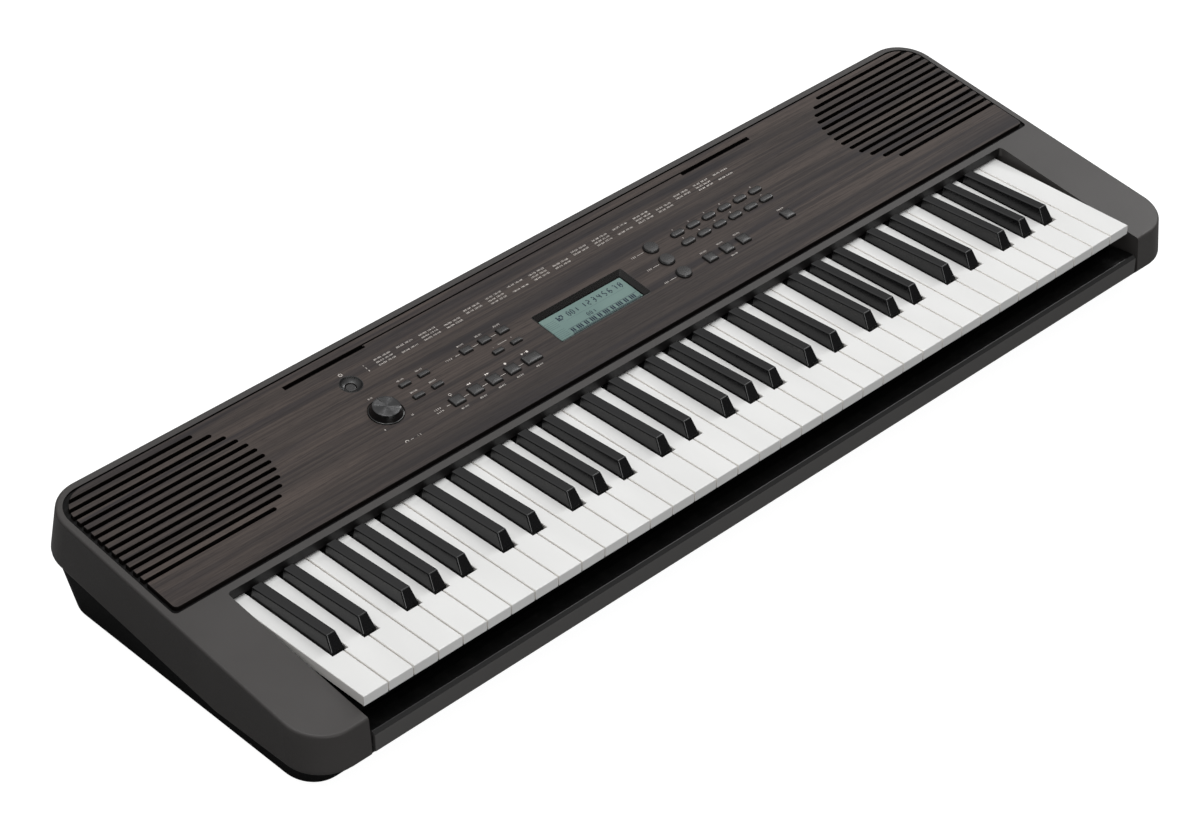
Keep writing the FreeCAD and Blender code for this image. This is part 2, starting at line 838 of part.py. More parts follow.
def key_plan(index, inset, front, rear):
    """Plan of a white key with its notches, set in by a wall; straight sides skip the notch points."""
    tail_left, tail_right = tail_edges(index)
    left = f"(key_gap / 2 + {inset})"
    right = f"(key_pitch - key_gap / 2 - {inset})"
    back = f"(white_head - {inset})"
    points = [(left, front), (right, front)]
    if tail_right != "(key_pitch - key_gap / 2)":
        points += [(right, back), (f"{tail_right} - {inset}", back)]
    points += [(f"{tail_right} - {inset}", rear), (f"{tail_left} + {inset}", rear)]
    if tail_left != "(key_gap / 2)":
        points += [(f"{tail_left} + {inset}", back), (left, back)]
    return points


def add_hinge(body, centre, start):
    """Thin tongue and round barrel at the back of a key, about the hinge line."""
    lift = f"({centre})"
    tongue = sketch(body, f"{body.Name}_tongue", "YZ_Plane", lift)
    top = f"({HINGE_Z} + barrel_radius - moving_clear)"
    rectangle(tongue, start, "hinge_back", f"{top} - tongue_thick", top)
    pad(body, tongue, "tongue_width", both=True)
    barrel = sketch(body, f"{body.Name}_barrel", "YZ_Plane", lift)
    circle(barrel, "hinge_back", HINGE_Z, "barrel_radius")
    pad(body, barrel, "tongue_width", both=True)


def white_form(name, index):
    """Hollow moulded key with rounded top edges, notches for its sharps and a hinge barrel."""
    body = new_body(name)
    plan = sketch(body, f"{name}_plan", "XY_Plane")
    outline(plan, key_plan(index, "0", "0", "white_length"))
    pad(body, plan, "white_height", downward=True)
    back = sheet.get("white_length") - SIZES["white_round"]
    round_edges(body, "white_round", lambda edge: edge.BoundBox.ZMin > -1e-6 and edge.BoundBox.YMin < back)
    under = sketch(body, f"{name}_under", "XY_Plane", "-white_height")
    outline(under, key_plan(index, "white_wall", "white_wall", "white_length - 4 * white_wall"))
    pocket(body, under, "white_height - white_top", upward=True)
    tail_left, tail_right = tail_edges(index)
    add_hinge(body, f"({tail_left} + {tail_right}) / 2", "white_length - 2 * white_wall")
    return body


def make_white_keys():
    """Seven forms repeat in every octave; the last key has a form without a notch."""
    steps = len(WHITE_STEPS)
    forms = [white_form(f"white_form_{step}", index) for index, step in enumerate(WHITE_STEPS)]
    last_form = white_form("white_form_last", WHITE_COUNT - 1)
    for index in range(WHITE_COUNT):
        form = last_form if index == WHITE_COUNT - 1 else forms[index % steps]
        key = copy_of(f"white_copy_{index + 1}", form)
        place(key, f"{index} * key_pitch - {KEYS_HALF}", KEY_Y, "key_top_height")
        keep(key, f"white_key_{index + 1:02d}")


def black_form(name):
    """Tapered sharp that slopes down to the back, with a shank and hinge barrel behind it."""
    body = new_body(name)
    half = "(black_width / 2)"
    front = "(white_head + black_front_clear)"
    rear = "(well_depth - black_rear_gap)"
    crown_front = f"({front} + black_front_lean)"
    wedge = body.newObject("PartDesign::AdditiveWedge", f"{name}_wedge")
    wedge.Placement = FreeCAD.Placement(FreeCAD.Vector(), FreeCAD.Rotation(FreeCAD.Vector(1, 0, 0), 90))
    shape_wedge(wedge, ("0", half, front, rear), ("black_rise_front", "black_top_width / 2", crown_front, rear))
    refresh(body)
    crown = sketch(body, f"{name}_crown", "YZ_Plane")
    outline(crown, [
        (crown_front, "black_rise_front"), (rear, "black_rise_rear"), (rear, "2 * black_rise_front"),
        (crown_front, "2 * black_rise_front"),
    ])
    pocket(body, crown, both=True)
    back = sheet.get("well_depth") - SIZES["black_rear_gap"] - SIZES["black_round"]
    round_edges(body, "black_round", lambda edge: edge.BoundBox.ZMax > 1 and edge.BoundBox.YMin < back)
    foot = sketch(body, f"{name}_foot", "XY_Plane")
    rectangle(foot, f"-{half}", half, front, rear)
    pad(body, foot, "white_height", downward=True)
    shank = sketch(body, f"{name}_shank", "XY_Plane", "-black_shank_drop")
    rectangle(shank, "-black_shank_width / 2", "black_shank_width / 2", f"{rear} - 2 * black_round", "white_length")
    pad(body, shank, "white_height - black_shank_drop", downward=True)
    add_hinge(body, "0", "white_length - 2 * white_wall")
    return body


def make_black_keys():
    """The five sharps of each octave are separate solids that share a node."""
    form = black_form("black_form")
    for octave in range(OCTAVES):
        sharps = []
        for place_in_octave, step in enumerate(WHITE_STEPS):
            if step in NOTCH_RIGHT:
                white = octave * len(WHITE_STEPS) + place_in_octave
                sharp = copy_of(f"sharp_{octave + 1}_{step}", form)
                centre = f"{white + 1} * key_pitch - {KEYS_HALF} + {NOTCH_RIGHT[step]}"
                sharps.append(place(sharp, centre, KEY_Y, "key_top_height"))
        keep(collect(f"sharps_{octave + 1}", sharps), f"black_keys_octave_{octave + 1}")


# Key chassis and contact boards
CHASSIS_HALF = f"({KEYS_HALF} - chassis_inset)"
PLATE_TOP = "(key_top_height - chassis_plate_drop)"


def make_key_chassis():
    """Long moulded frame: stop rail in front, hinge channel behind, standing on two ribs."""
    front = f"({KEY_Y} + chassis_front)"
    axis_y = f"({KEY_Y} + hinge_back)"
    axis_z = f"(key_top_height + {HINGE_Z})"
    plate_low = f"({PLATE_TOP} - chassis_plate)"
    saddle = f"({axis_z} - 2 * moving_clear)"
    lip_low = f"({axis_z} + barrel_radius + moving_clear)"
    inner_rear = f"({axis_y} + barrel_radius + moving_clear)"
    rear = f"({inner_rear} + channel_rear)"
    body = prism(
        "key_chassis_body",
        [
            (front, TUB_INSIDE),
            (f"{front} + chassis_rib", TUB_INSIDE),
            (f"{front} + chassis_rib", plate_low),
            (f"{rear} - chassis_rib", plate_low),
            (f"{rear} - chassis_rib", TUB_INSIDE),
            (rear, TUB_INSIDE),
            (rear, f"{lip_low} + channel_lip"),
            (f"{axis_y} - channel_lip_reach", f"{lip_low} + channel_lip"),
            (f"{axis_y} - channel_lip_reach", lip_low),
            (inner_rear, lip_low),
            (inner_rear, saddle),
            (f"{axis_y} - channel_front", saddle),
            (f"{axis_y} - channel_front", PLATE_TOP),
            (f"{front} + stop_depth", PLATE_TOP),
            (f"{front} + stop_depth", "key_top_height - stop_drop"),
            (front, "key_top_height - stop_drop"),
        ],
        "YZ_Plane",
        f"2 * {CHASSIS_HALF}",
        both=True,
    )
    groove = sketch(body, "hinge_groove", "YZ_Plane")
    circle(groove, axis_y, axis_z, "barrel_radius + barrel_clear")
    pocket(body, groove, both=True)
    keep(body, "key_chassis")


def make_contact_boards():
    """Two contact boards under the keys, each with a ridge of rubber contacts on it."""
    front = f"({KEY_Y} + contact_front)"
    rear = f"({front} + contact_depth)"
    middle = f"({front} + contact_depth / 2)"
    boards = []
    ends = [(f"-{CHASSIS_HALF}", "-contact_gap / 2"), ("contact_gap / 2", CHASSIS_HALF)]
    for side, (left, right) in enumerate(ends):
        board = block(f"contact_board_{side}", left, right, front, rear, PLATE_TOP, f"{PLATE_TOP} + board_thick")
        ridge = block(
            f"contact_ridge_{side}", left, right, f"{middle} - contact_ridge / 2", f"{middle} + contact_ridge / 2",
            f"{PLATE_TOP} + board_thick / 2", f"{PLATE_TOP} + board_thick + contact_height",
        )
        boards.append(fuse(f"contact_{side}", [board, ridge]))
    keep(collect("contact_pair", boards), "contact_boards")


# Buttons
def button_rows():
    """Every button of the panel by node: shape, centre across and up the panel, width and length."""
    rows = {"mode_buttons": [], "song_buttons": [], "category_buttons": [], "number_buttons": []}
    rows["function_buttons"] = []
    for v in ("upper_row", "second_row"):
        for step in range(2):
            rows["mode_buttons"].append((f"{step} * button_pitch - mode_x", v, "small_width", "small_length"))
    for step in range(3):
        x = f"{step} * button_pitch - lesson_x"
        rows["mode_buttons"].append((x, "upper_row", "small_width", "lesson_length"))
        if step > 0:
            rows["mode_buttons"].append((x, "second_row", "small_width", "small_length"))
    for step in range(4):
        rows["song_buttons"].append((f"{step} * button_pitch - song_x", "lower_row", "song_width", "song_length"))
    rows["song_buttons"].append(("-song_last_x", "lower_row", "song_last_width", "song_length"))
    for v in ("upper_row", "round_row", "lower_row"):
        rows["category_buttons"].append(("round_x", v, "2 * round_radius", "2 * round_radius"))
    for v in ("upper_row", "number_row"):
        for step in range(6):
            rows["number_buttons"].append((f"{step} * number_pitch + right_x", v, "number_width", "number_length"))
    for step in range(3):
        rows["function_buttons"].append(
            (f"{step} * button_pitch + right_x", "lower_row", "function_width", "song_length")
        )
    rows["function_buttons"].append(("far_x", "lower_row", "function_width", "song_length"))
    return rows


def button_profile(body, drawing_name, label, width, length, grow):
    """One button's outline: a disc, a bar with round ends or a rectangle."""
    drawing = sketch(body, drawing_name, "XY_Plane")
    if label == "category_buttons":
        circle(drawing, "0", "0", f"({width}) / 2 + ({grow})")
    else:
        across = f"(({width}) / 2 + ({grow}))"
        along = f"(({length}) / 2 + ({grow}))"
        rectangle(drawing, f"-{across}", across, f"-{along}", along)
    return drawing


def corner_radius(label, length, grow):
    """Round ends on the number buttons, small corners on the rest."""
    if label == "number_buttons":
        return f"({length}) / 2 + ({grow}) - button_round / 10"
    return f"button_round + ({grow})"


def button_form(name, label, width, length):
    """Cap with rounded edges that passes through the panel, with a flange under it and a stem over its switch."""
    body = new_body(name)
    cap_height = "(panel_thick + moving_clear + button_proud)"
    pad(body, button_profile(body, f"{name}_cap", label, width, length, "0"), cap_height, downward=True)
    if label != "category_buttons":
        round_edges(body, corner_radius(label, length, "0"), upright)
    round_edges(body, "button_round", lambda edge: edge.BoundBox.ZMin > -1e-6)
    flange = button_profile(body, f"{name}_flange", label, width, length, "button_flange")
    bind(flange, "AttachmentOffset.Base.z", f"-{cap_height}")
    pad(body, flange, "button_flange", downward=True)
    stem = sketch(body, f"{name}_stem", "XY_Plane", f"-{cap_height} - button_flange / 2")
    circle(stem, "0", "0", "button_stem")
    stem_end = "(switch_drop - switch_rise - button_travel - moving_clear)"
    pad(body, stem, f"{stem_end} + button_proud - {cap_height} - button_flange / 2", downward=True)
    return body


def hole_form(name, label, width, length):
    """Tool for the hole that a button passes through."""
    body = new_body(name)
    pad(body, button_profile(body, f"{name}_plan", label, width, length, "button_gap"), "4 * panel_thick", both=True)
    if label != "category_buttons":
        round_edges(body, corner_radius(label, length, "button_gap"), upright)
    return body


def repeat_on_panel(kind, make_form, label, places, w):
    """One copy at every place, with a form of its own for each size."""
    forms = {}
    copies = []
    for index, (x, v, width, length) in enumerate(places):
        if (width, length) not in forms:
            forms[width, length] = make_form(f"{label}_{kind}_form_{len(forms)}", label, width, length)
        item = copy_of(f"{label}_{kind}_{index}", forms[width, length])
        copies.append(place_on_panel(item, x, v, w))
    return copies


def make_buttons():
    for label, places in button_rows().items():
        caps = repeat_on_panel("cap", button_form, label, places, "button_proud")
        keep(collect(f"{label}_group", caps), label)


def make_power_button():
    """Round button at the bottom of its dish."""
    body = new_body("power_button_body")
    cap = sketch(body, "power_cap", "XY_Plane")
    circle(cap, "0", "0", "power_radius")
    pad(body, cap, "dish_boss_depth - power_sink + moving_clear", downward=True)
    round_edges(body, "button_round", lambda edge: edge.BoundBox.ZMin > -1e-6)
    flange = sketch(body, "power_flange", "XY_Plane", "power_sink - dish_boss_depth - moving_clear")
    circle(flange, "0", "0", "power_radius + button_flange")
    pad(body, flange, "button_flange", downward=True)
    keep(place_on_panel(body, "-power_x", "power_v", "-power_sink"), "power_button")


def make_volume_knob():
    """Turned knob with a wider base, standing in a shallow well on its shaft."""
    body = new_body("volume_knob_body")
    profile = sketch(body, "knob_profile", "YZ_Plane")
    outline(profile, [
        ("0", "-knob_shaft_depth"),
        ("knob_shaft", "-knob_shaft_depth"),
        ("knob_shaft", "moving_clear - knob_sink"),
        ("knob_base_radius", "moving_clear - knob_sink"),
        ("knob_base_radius", "moving_clear"),
        ("knob_radius", "knob_rise"),
        ("0", "knob_rise"),
    ])
    turned = body.newObject("PartDesign::Revolution", "knob_turned")
    turned.Profile = profile
    turned.ReferenceAxis = (profile, ["V_Axis"])
    turned.Angle = 360
    refresh(body)
    rim = turned.Shape.BoundBox.ZMax
    round_edges(body, "knob_round", lambda edge: edge.BoundBox.ZMin > rim - 1e-6 and edge.BoundBox.XLength > 1)
    keep(place_on_panel(body, "-knob_x", "knob_v"), "volume_knob")


# Control panel
def make_control_panel():
    """Wood-look panel: speaker slots, button holes, display window, rest slot and board posts."""
    body = prism(
        "panel_body",
        [
            ("-panel_width / 2", "0"),
            ("panel_width / 2", "0"),
            ("panel_width / 2", "panel_length"),
            ("-panel_width / 2", "panel_length"),
        ],
        "XY_Plane",
        "panel_thick",
        lift=PANEL_UNDER,
    )
    round_edges(body, "panel_rear_corner", lambda edge: upright(edge) and edge.CenterOfMass.y > 1)
    round_edges(body, "panel_front_corner", lambda edge: upright(edge) and edge.CenterOfMass.y < 1)
    round_edges(body, "panel_round", lambda edge: edge.BoundBox.ZMin > -1e-6)

    openings = sketch(body, "panel_openings", "XY_Plane", "panel_thick")
    half = "(display_width / 2)"
    rectangle(openings, f"-{half}", half, "display_front_v", "display_front_v + display_length")
    for left, right in (("-rest_outer", "-rest_inner"), ("rest_inner", "rest_outer")):
        rectangle(openings, left, right, "rest_v - rest_width / 2", "rest_v + rest_width / 2")
    pocket(body, openings)
    slit = sketch(body, "rest_slit_line", "XY_Plane")
    slit_rear = "(rest_v + rest_width / 2)"
    rectangle(slit, "-rest_inner", "rest_inner", f"{slit_rear} - rest_slit", slit_rear)
    pocket(body, slit, "rest_slit_depth")
    place_on_panel(body)

    dish_boss = place_on_panel(rod("dish_boss_rod", "dish_boss", "dish_boss_depth - panel_thick / 2"),
                               "-power_x", "power_v", "-dish_boss_depth")
    posts = [dish_boss]
    for index, (x, v) in enumerate(board_corners()):
        post = rod(f"board_post_{index}", "board_post", "switch_drop - panel_thick / 2")
        posts.append(place_on_panel(post, x, v, "-switch_drop"))
    plate = fuse("panel_with_posts", [body, *posts])

    tools = grille_slots()
    for label, places in button_rows().items():
        tools += repeat_on_panel("hole", hole_form, label, places, "0")
    dish_ball = "((dish_radius ^ 2 + dish_depth ^ 2) / (2 * dish_depth))"
    bowl = doc.addObject("Part::Sphere", "dish_bowl")
    bind(bowl, "Radius", dish_ball)
    tools.append(place_on_panel(bowl, "-power_x", "power_v", f"{dish_ball} - dish_depth"))
    power_hole = rod("power_hole", "power_radius + button_gap", "2 * dish_boss_depth")
    tools.append(place_on_panel(power_hole, "-power_x", "power_v", "-2 * dish_boss_depth"))
    knob_well = rod("knob_well", "knob_base_radius + knob_gap", f"knob_sink + {MODEL_MARGIN}")
    tools.append(place_on_panel(knob_well, "-knob_x", "knob_v", "-knob_sink"))
    shaft_hole = rod("shaft_hole", "knob_shaft + button_gap", "4 * panel_thick")
    tools.append(place_on_panel(shaft_hole, "-knob_x", "knob_v", "-2 * panel_thick"))
    keep(cut("control_panel_solid", plate, tools), "control_panel")


def grille_slots():
    """Slots of the two grilles: round inner ends on a circle, open at the panel's outer edge."""
    tools = []
    over = f"{MODEL_MARGIN}"
    for step in range(-SLOTS_EACH_SIDE, SLOTS_EACH_SIDE + 1):
        v = f"(grille_v + {step} * grille_pitch)"
        inner = f"(grille_x - sqrt(grille_radius ^ 2 - ({step} * grille_pitch) ^ 2) + grille_slot / 2)"
        outer = f"(panel_width / 2 + {over})"
        for side, (left, right, end) in enumerate([(f"-{outer}", f"-{inner}", f"-{inner}"), (inner, outer, inner)]):
            name = f"slot_{side}_{step + SLOTS_EACH_SIDE}"
            tools.append(panel_block(name, left, right, f"{v} - grille_slot / 2", f"{v} + grille_slot / 2",
                                     f"-{over}", over))
            tip = rod(f"{name}_end", "grille_slot / 2", f"2 * {over}")
            tools.append(place_on_panel(tip, end, v, f"-{over}"))
    return tools


def board_corners():
    """Posts that carry the two switch boards."""
    corners = []
    for inner, outer in (("-board_inner", "-board_outer"), ("board_inner", "board_outer")):
        sign = "-" if inner.startswith("-") else "+"
        for x in (f"{inner} {sign} board_post", f"{outer} - ({sign}board_post)"):
            for v in ("board_front_v + board_post", "board_rear_v - board_post"):
                corners.append((x, v))
    return corners


def make_display_module():
    """Display glass and its frame, seated against the back of the panel."""
    half = "(display_width / 2 + display_border)"
    frame = panel_block(
        "display_frame", f"-{half}", half, "display_front_v - display_border",
        "display_front_v + display_length + display_border", f"{PANEL_UNDER} - display_depth", PANEL_UNDER,
    )
    keep(frame, "display_module")


def make_circuit_boards():
    """Main board on the tub, and two switch boards under the panel with a switch below every button."""
    boards = []
    main_low = f"({TUB_INSIDE} + main_post)"
    main = block("main_board", "-main_width / 2", "main_width / 2", "main_front", "main_front + main_depth",
                 main_low, f"{main_low} + board_thick")
    boards.append(main)
    switches = {"left": [], "right": []}
    spots = [spot for places in button_rows().values() for spot in places]
    for index, (x, v, *_) in enumerate(spots):
        side = "left" if "-" in x else "right"
        switches[side].append(panel_block(
            f"switch_{index}", f"({x}) - switch_size / 2", f"({x}) + switch_size / 2",
            f"{v} - switch_size / 2", f"{v} + switch_size / 2", "-switch_drop - board_thick / 2",
            "switch_rise - switch_drop",
        ))
    power_switch_top = "-dish_boss_depth - button_flange - button_travel - 2 * moving_clear"
    switches["left"].append(panel_block(
        "power_switch", "-power_x - switch_size / 2", "-power_x + switch_size / 2", "power_v - switch_size / 2",
        "power_v + switch_size / 2", "-switch_drop - board_thick / 2", power_switch_top,
    ))
    switches["left"].append(panel_block(
        "volume_control", "-knob_x - switch_size", "-knob_x + switch_size", "knob_v - switch_size",
        "knob_v + switch_size", "-switch_drop - board_thick / 2", "-knob_shaft_depth - moving_clear",
    ))
    ends = {"left": ("-board_outer", "-board_inner"), "right": ("board_inner", "board_outer")}
    for side, (left, right) in ends.items():
        board = panel_block(f"switch_board_{side}", left, right, "board_front_v", "board_rear_v",
                            "-switch_drop - board_thick", "-switch_drop")
        boards.append(fuse(f"switches_{side}", [board, *switches[side]]))
    keep(collect("board_set", boards), "circuit_boards")


def make_speaker(name, x):
    """Loudspeaker turned about its axis: flange, basket, cone dish and magnet."""
    body = new_body(name)
    profile = sketch(body, f"{name}_profile", "YZ_Plane")
    outline(profile, [
        ("0", "-speaker_depth"),
        ("speaker_magnet", "-speaker_depth"),
        ("speaker_magnet", "-speaker_basket_depth"),
        ("speaker_radius", "-speaker_flange"),
        ("speaker_radius", "0"),
        ("speaker_mouth", "0"),
        ("speaker_neck", "speaker_flange * 2 - speaker_basket_depth"),
        ("0", "speaker_flange * 2 - speaker_basket_depth"),
    ])
    turned = body.newObject("PartDesign::Revolution", f"{name}_turned")
    turned.Profile = profile
    turned.ReferenceAxis = (profile, ["V_Axis"])
    turned.Angle = 360
    refresh(body)
    return place_on_panel(body, x, "grille_v", PANEL_UNDER)


def make_speakers():
    pair = [make_speaker(f"speaker_{side}", x) for side, x in zip(("left", "right"), mirrored("grille_x"))]
    keep(collect("speaker_pair", pair), "speakers")


# Rear jacks
JACK_BORES = ["power_jack_bore", "mini_jack_bore", "jack_bore", "jack_bore"]


def place_on_rear(item, x, up, out):
    """Put an object on the leaning rear wall, its Z pointing out; up is measured along the wall from the axis."""
    y = f"{rear_wall('jack_height')} - ({up}) * sin(rear_lean) + ({out}) * cos(rear_lean)"
    z = f"jack_height + ({up}) * cos(rear_lean) + ({out}) * sin(rear_lean)"
    return place(item, x, y, z, "rear_lean - 90")


def jack_rod(name, index, radius, start, length):
    post = rod(name, radius, f"{length} - ({start})" if name.startswith("jack_hole") else length)
    return place_on_rear(post, f"jack_x + {index} * jack_pitch", "0", start)


def rear_block(name, left, right, low, high, start, end):
    """A box against the rear wall, low and high measured down the slope."""
    box = doc.addObject("Part::Box", name)
    bind(box, "Length", f"({right}) - ({left})")
    bind(box, "Width", f"({high}) - ({low})")
    bind(box, "Height", f"({end}) - ({start})")
    return place_on_rear(box, left, high, start)


def make_rear_jacks():
    """Plate behind the rear wall with four sockets that come through it."""
    wall = "(case_wall * cos(rear_lean))"
    last = f"(jack_x + {len(JACK_BORES) - 1} * jack_pitch)"
    half = "(jack_block / 2)"
    pieces = [rear_block("jack_plate_box", "jack_x - jack_margin", f"{last} + jack_margin", f"-{half}", half,
                         f"-{wall} - jack_plate", f"-{wall}")]
    bores = []
    for index, bore in enumerate(JACK_BORES):
        x = f"(jack_x + {index} * jack_pitch)"
        pieces.append(jack_rod(f"jack_bush_{index}", index, "jack_radius", "-jack_plate", "jack_plate"))
        pieces.append(jack_rod(f"jack_neck_{index}", index, "jack_radius", f"-{wall} - jack_plate",
                               f"{wall} + jack_plate"))
        pieces.append(rear_block(f"jack_body_{index}", f"{x} - {half}", f"{x} + {half}", f"-{half}", half,
                                 "-jack_block", f"-{wall} - jack_plate / 2"))
        bores.append(jack_rod(f"jack_bore_{index}", index, bore, "-jack_depth", f"jack_depth + {MODEL_MARGIN}"))
    keep(cut("rear_jacks_solid", fuse("jack_set", pieces), bores), "rear_jacks")


# Feet and screws
def make_rubber_feet():
    """Six feet, two of them under the middle."""
    feet = []
    for column, x in enumerate(("-foot_x", "0", "foot_x")):
        for line, y in enumerate(("-foot_y", "foot_y")):
            foot = rod(f"foot_{column}_{line}", "foot_radius", "tub_low")
            feet.append(place(foot, x, y, "0"))
    keep(collect("feet", feet), "rubber_feet")


def make_case_screws():
    """Screws that hold the tub to the posts of the upper case."""
    screws = []
    for index, (x, y) in enumerate(screw_places()):
        head_low = "(tub_low + screw_sink - screw_head_rise)"
        head = place(rod(f"screw_head_{index}", "screw_head", "screw_head_rise"), x, y, head_low)
        shank = place(rod(f"screw_shank_{index}", "screw_radius", "screw_length"), x, y, head_low)
        screws.append(fuse(f"screw_{index}", [head, shank]))
    keep(collect("screws", screws), "case_screws")


def check_document():
    """Stop before anything is written if an object failed or a shape is not sound."""
    for item in doc.Objects:
        if {"Invalid", "Error"} & set(item.State):
            raise ValueError(f"{item.Label} failed to compute")
        if item.TypeId == "PartDesign::Pocket" and not item.Shape.Volume < item.BaseFeature.Shape.Volume:
            raise ValueError(f"{item.Label} cut nothing")
    for item in subparts:
        if item.Shape.isNull() or not item.Shape.isValid():
            raise ValueError(f"{item.Label} has no sound shape")
        if not item.Shape.Solids:
            raise ValueError(f"{item.Label} has no solid")


def main():
    make_upper_case()
    make_lower_case()
    make_front_rail()
    make_white_keys()
    make_black_keys()
    make_key_chassis()
    make_contact_boards()
    make_control_panel()
    make_buttons()
    make_power_button()
    make_volume_knob()
    make_display_module()
    make_circuit_boards()
    make_speakers()
    make_rear_jacks()
    make_rubber_feet()
    make_case_screws()
    doc.recompute()
    check_document()
    os.makedirs("parts", exist_ok=True)
    for item in subparts:
        item.Shape.exportStep(f"parts/{item.Label}.step")


main()
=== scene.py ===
import math

import bmesh
import bpy
from mathutils import Matrix, Vector


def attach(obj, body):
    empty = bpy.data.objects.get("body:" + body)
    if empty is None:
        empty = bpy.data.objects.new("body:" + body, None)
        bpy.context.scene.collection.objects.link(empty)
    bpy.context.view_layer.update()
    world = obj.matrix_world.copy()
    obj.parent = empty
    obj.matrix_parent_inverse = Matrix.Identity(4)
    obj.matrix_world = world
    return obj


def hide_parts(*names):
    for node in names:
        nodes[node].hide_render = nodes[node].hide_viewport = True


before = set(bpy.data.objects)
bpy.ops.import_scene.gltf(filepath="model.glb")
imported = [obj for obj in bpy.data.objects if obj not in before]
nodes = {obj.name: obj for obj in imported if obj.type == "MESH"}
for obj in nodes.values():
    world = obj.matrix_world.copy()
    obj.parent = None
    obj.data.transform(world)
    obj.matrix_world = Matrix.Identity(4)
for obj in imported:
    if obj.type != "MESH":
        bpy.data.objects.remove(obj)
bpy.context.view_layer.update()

MM = 0.001

# The panel's own axes in millimetres: u to the right, v up the slope, w out of the wood
PANEL_TILT = math.radians(8.05)
PANEL_ORIGIN = Vector((0.0, 2.65, 86.773))
PANEL_U = Vector((1.0, 0.0, 0.0))
PANEL_V = Vector((0.0, math.cos(PANEL_TILT), math.sin(PANEL_TILT)))
PANEL_W = Vector((0.0, -math.sin(PANEL_TILT), math.cos(PANEL_TILT)))
PANEL_AXES = Matrix((PANEL_U, PANEL_V, PANEL_W)).transposed().to_4x4()
PANEL = Matrix.Translation(PANEL_ORIGIN * MM) @ PANEL_AXES @ Matrix.Scale(MM, 4)
PANEL_HALF = 459.1
PANEL_LENGTH = 137.7
PANEL_GROOVE = 3.0
PANEL_CORNER = 24.0
PANEL_PROUD = 2.16

# The seam round the panel, whose sunk seat is painted black as shade, and the wall behind the keys, in
# millimetres
SEAM_MARGIN = 0.5
SEAM_FRONT = -PANEL_GROOVE - 0.4
SEAM_TOP = -PANEL_PROUD - 0.25
WELL_REAR = -6.2
WELL_MARGIN = 1.5


def on_panel(u, v, w=0.0):
    """A point given on the panel in millimetres, in the frame's metres."""
    return PANEL @ Vector((u, v, w))


# Controls on the panel: u, v, width and length in millimetres
UPPER_ROW = 75.4
SECOND_ROW = 59.5
NUMBER_ROW = 62.7
ROUND_ROW = 57.1
LOWER_ROW = 37.7
BUTTON_PITCH = 19.0
NUMBER_PITCH = 18.1
RIGHT_U = 116.2
ROUND_U = 85.9
FAR_U = 206.3
SONG_LAST_U = -80.6
MODE_U = [BUTTON_PITCH * step - 177.4 for step in range(2)]
LESSON_U = [BUTTON_PITCH * step - 114.6 for step in range(3)]
SONG_U = [BUTTON_PITCH * step - 158.1 for step in range(4)]
NUMBER_U = [NUMBER_PITCH * step + RIGHT_U for step in range(6)]
FUNCTION_U = [BUTTON_PITCH * step + RIGHT_U for step in range(3)] + [FAR_U]
SMALL = (10.2, 4.2)
LESSON = (10.2, 6.3)
SONG = (11.2, 9.5)
SONG_LAST = (15.6, 9.5)
FUNCTION = (10.4, 9.5)
ROUND = (13.0, 13.0)
NUMBER = (13.4, 6.0)
SQUARE_CORNER = 1.0

POWER = (-209.4, 100.8)
KNOB = (-208.8, 61.4)
DISPLAY_HALF = 48.6
DISPLAY_FRONT = 37.1
DISPLAY_REAR = 72.8


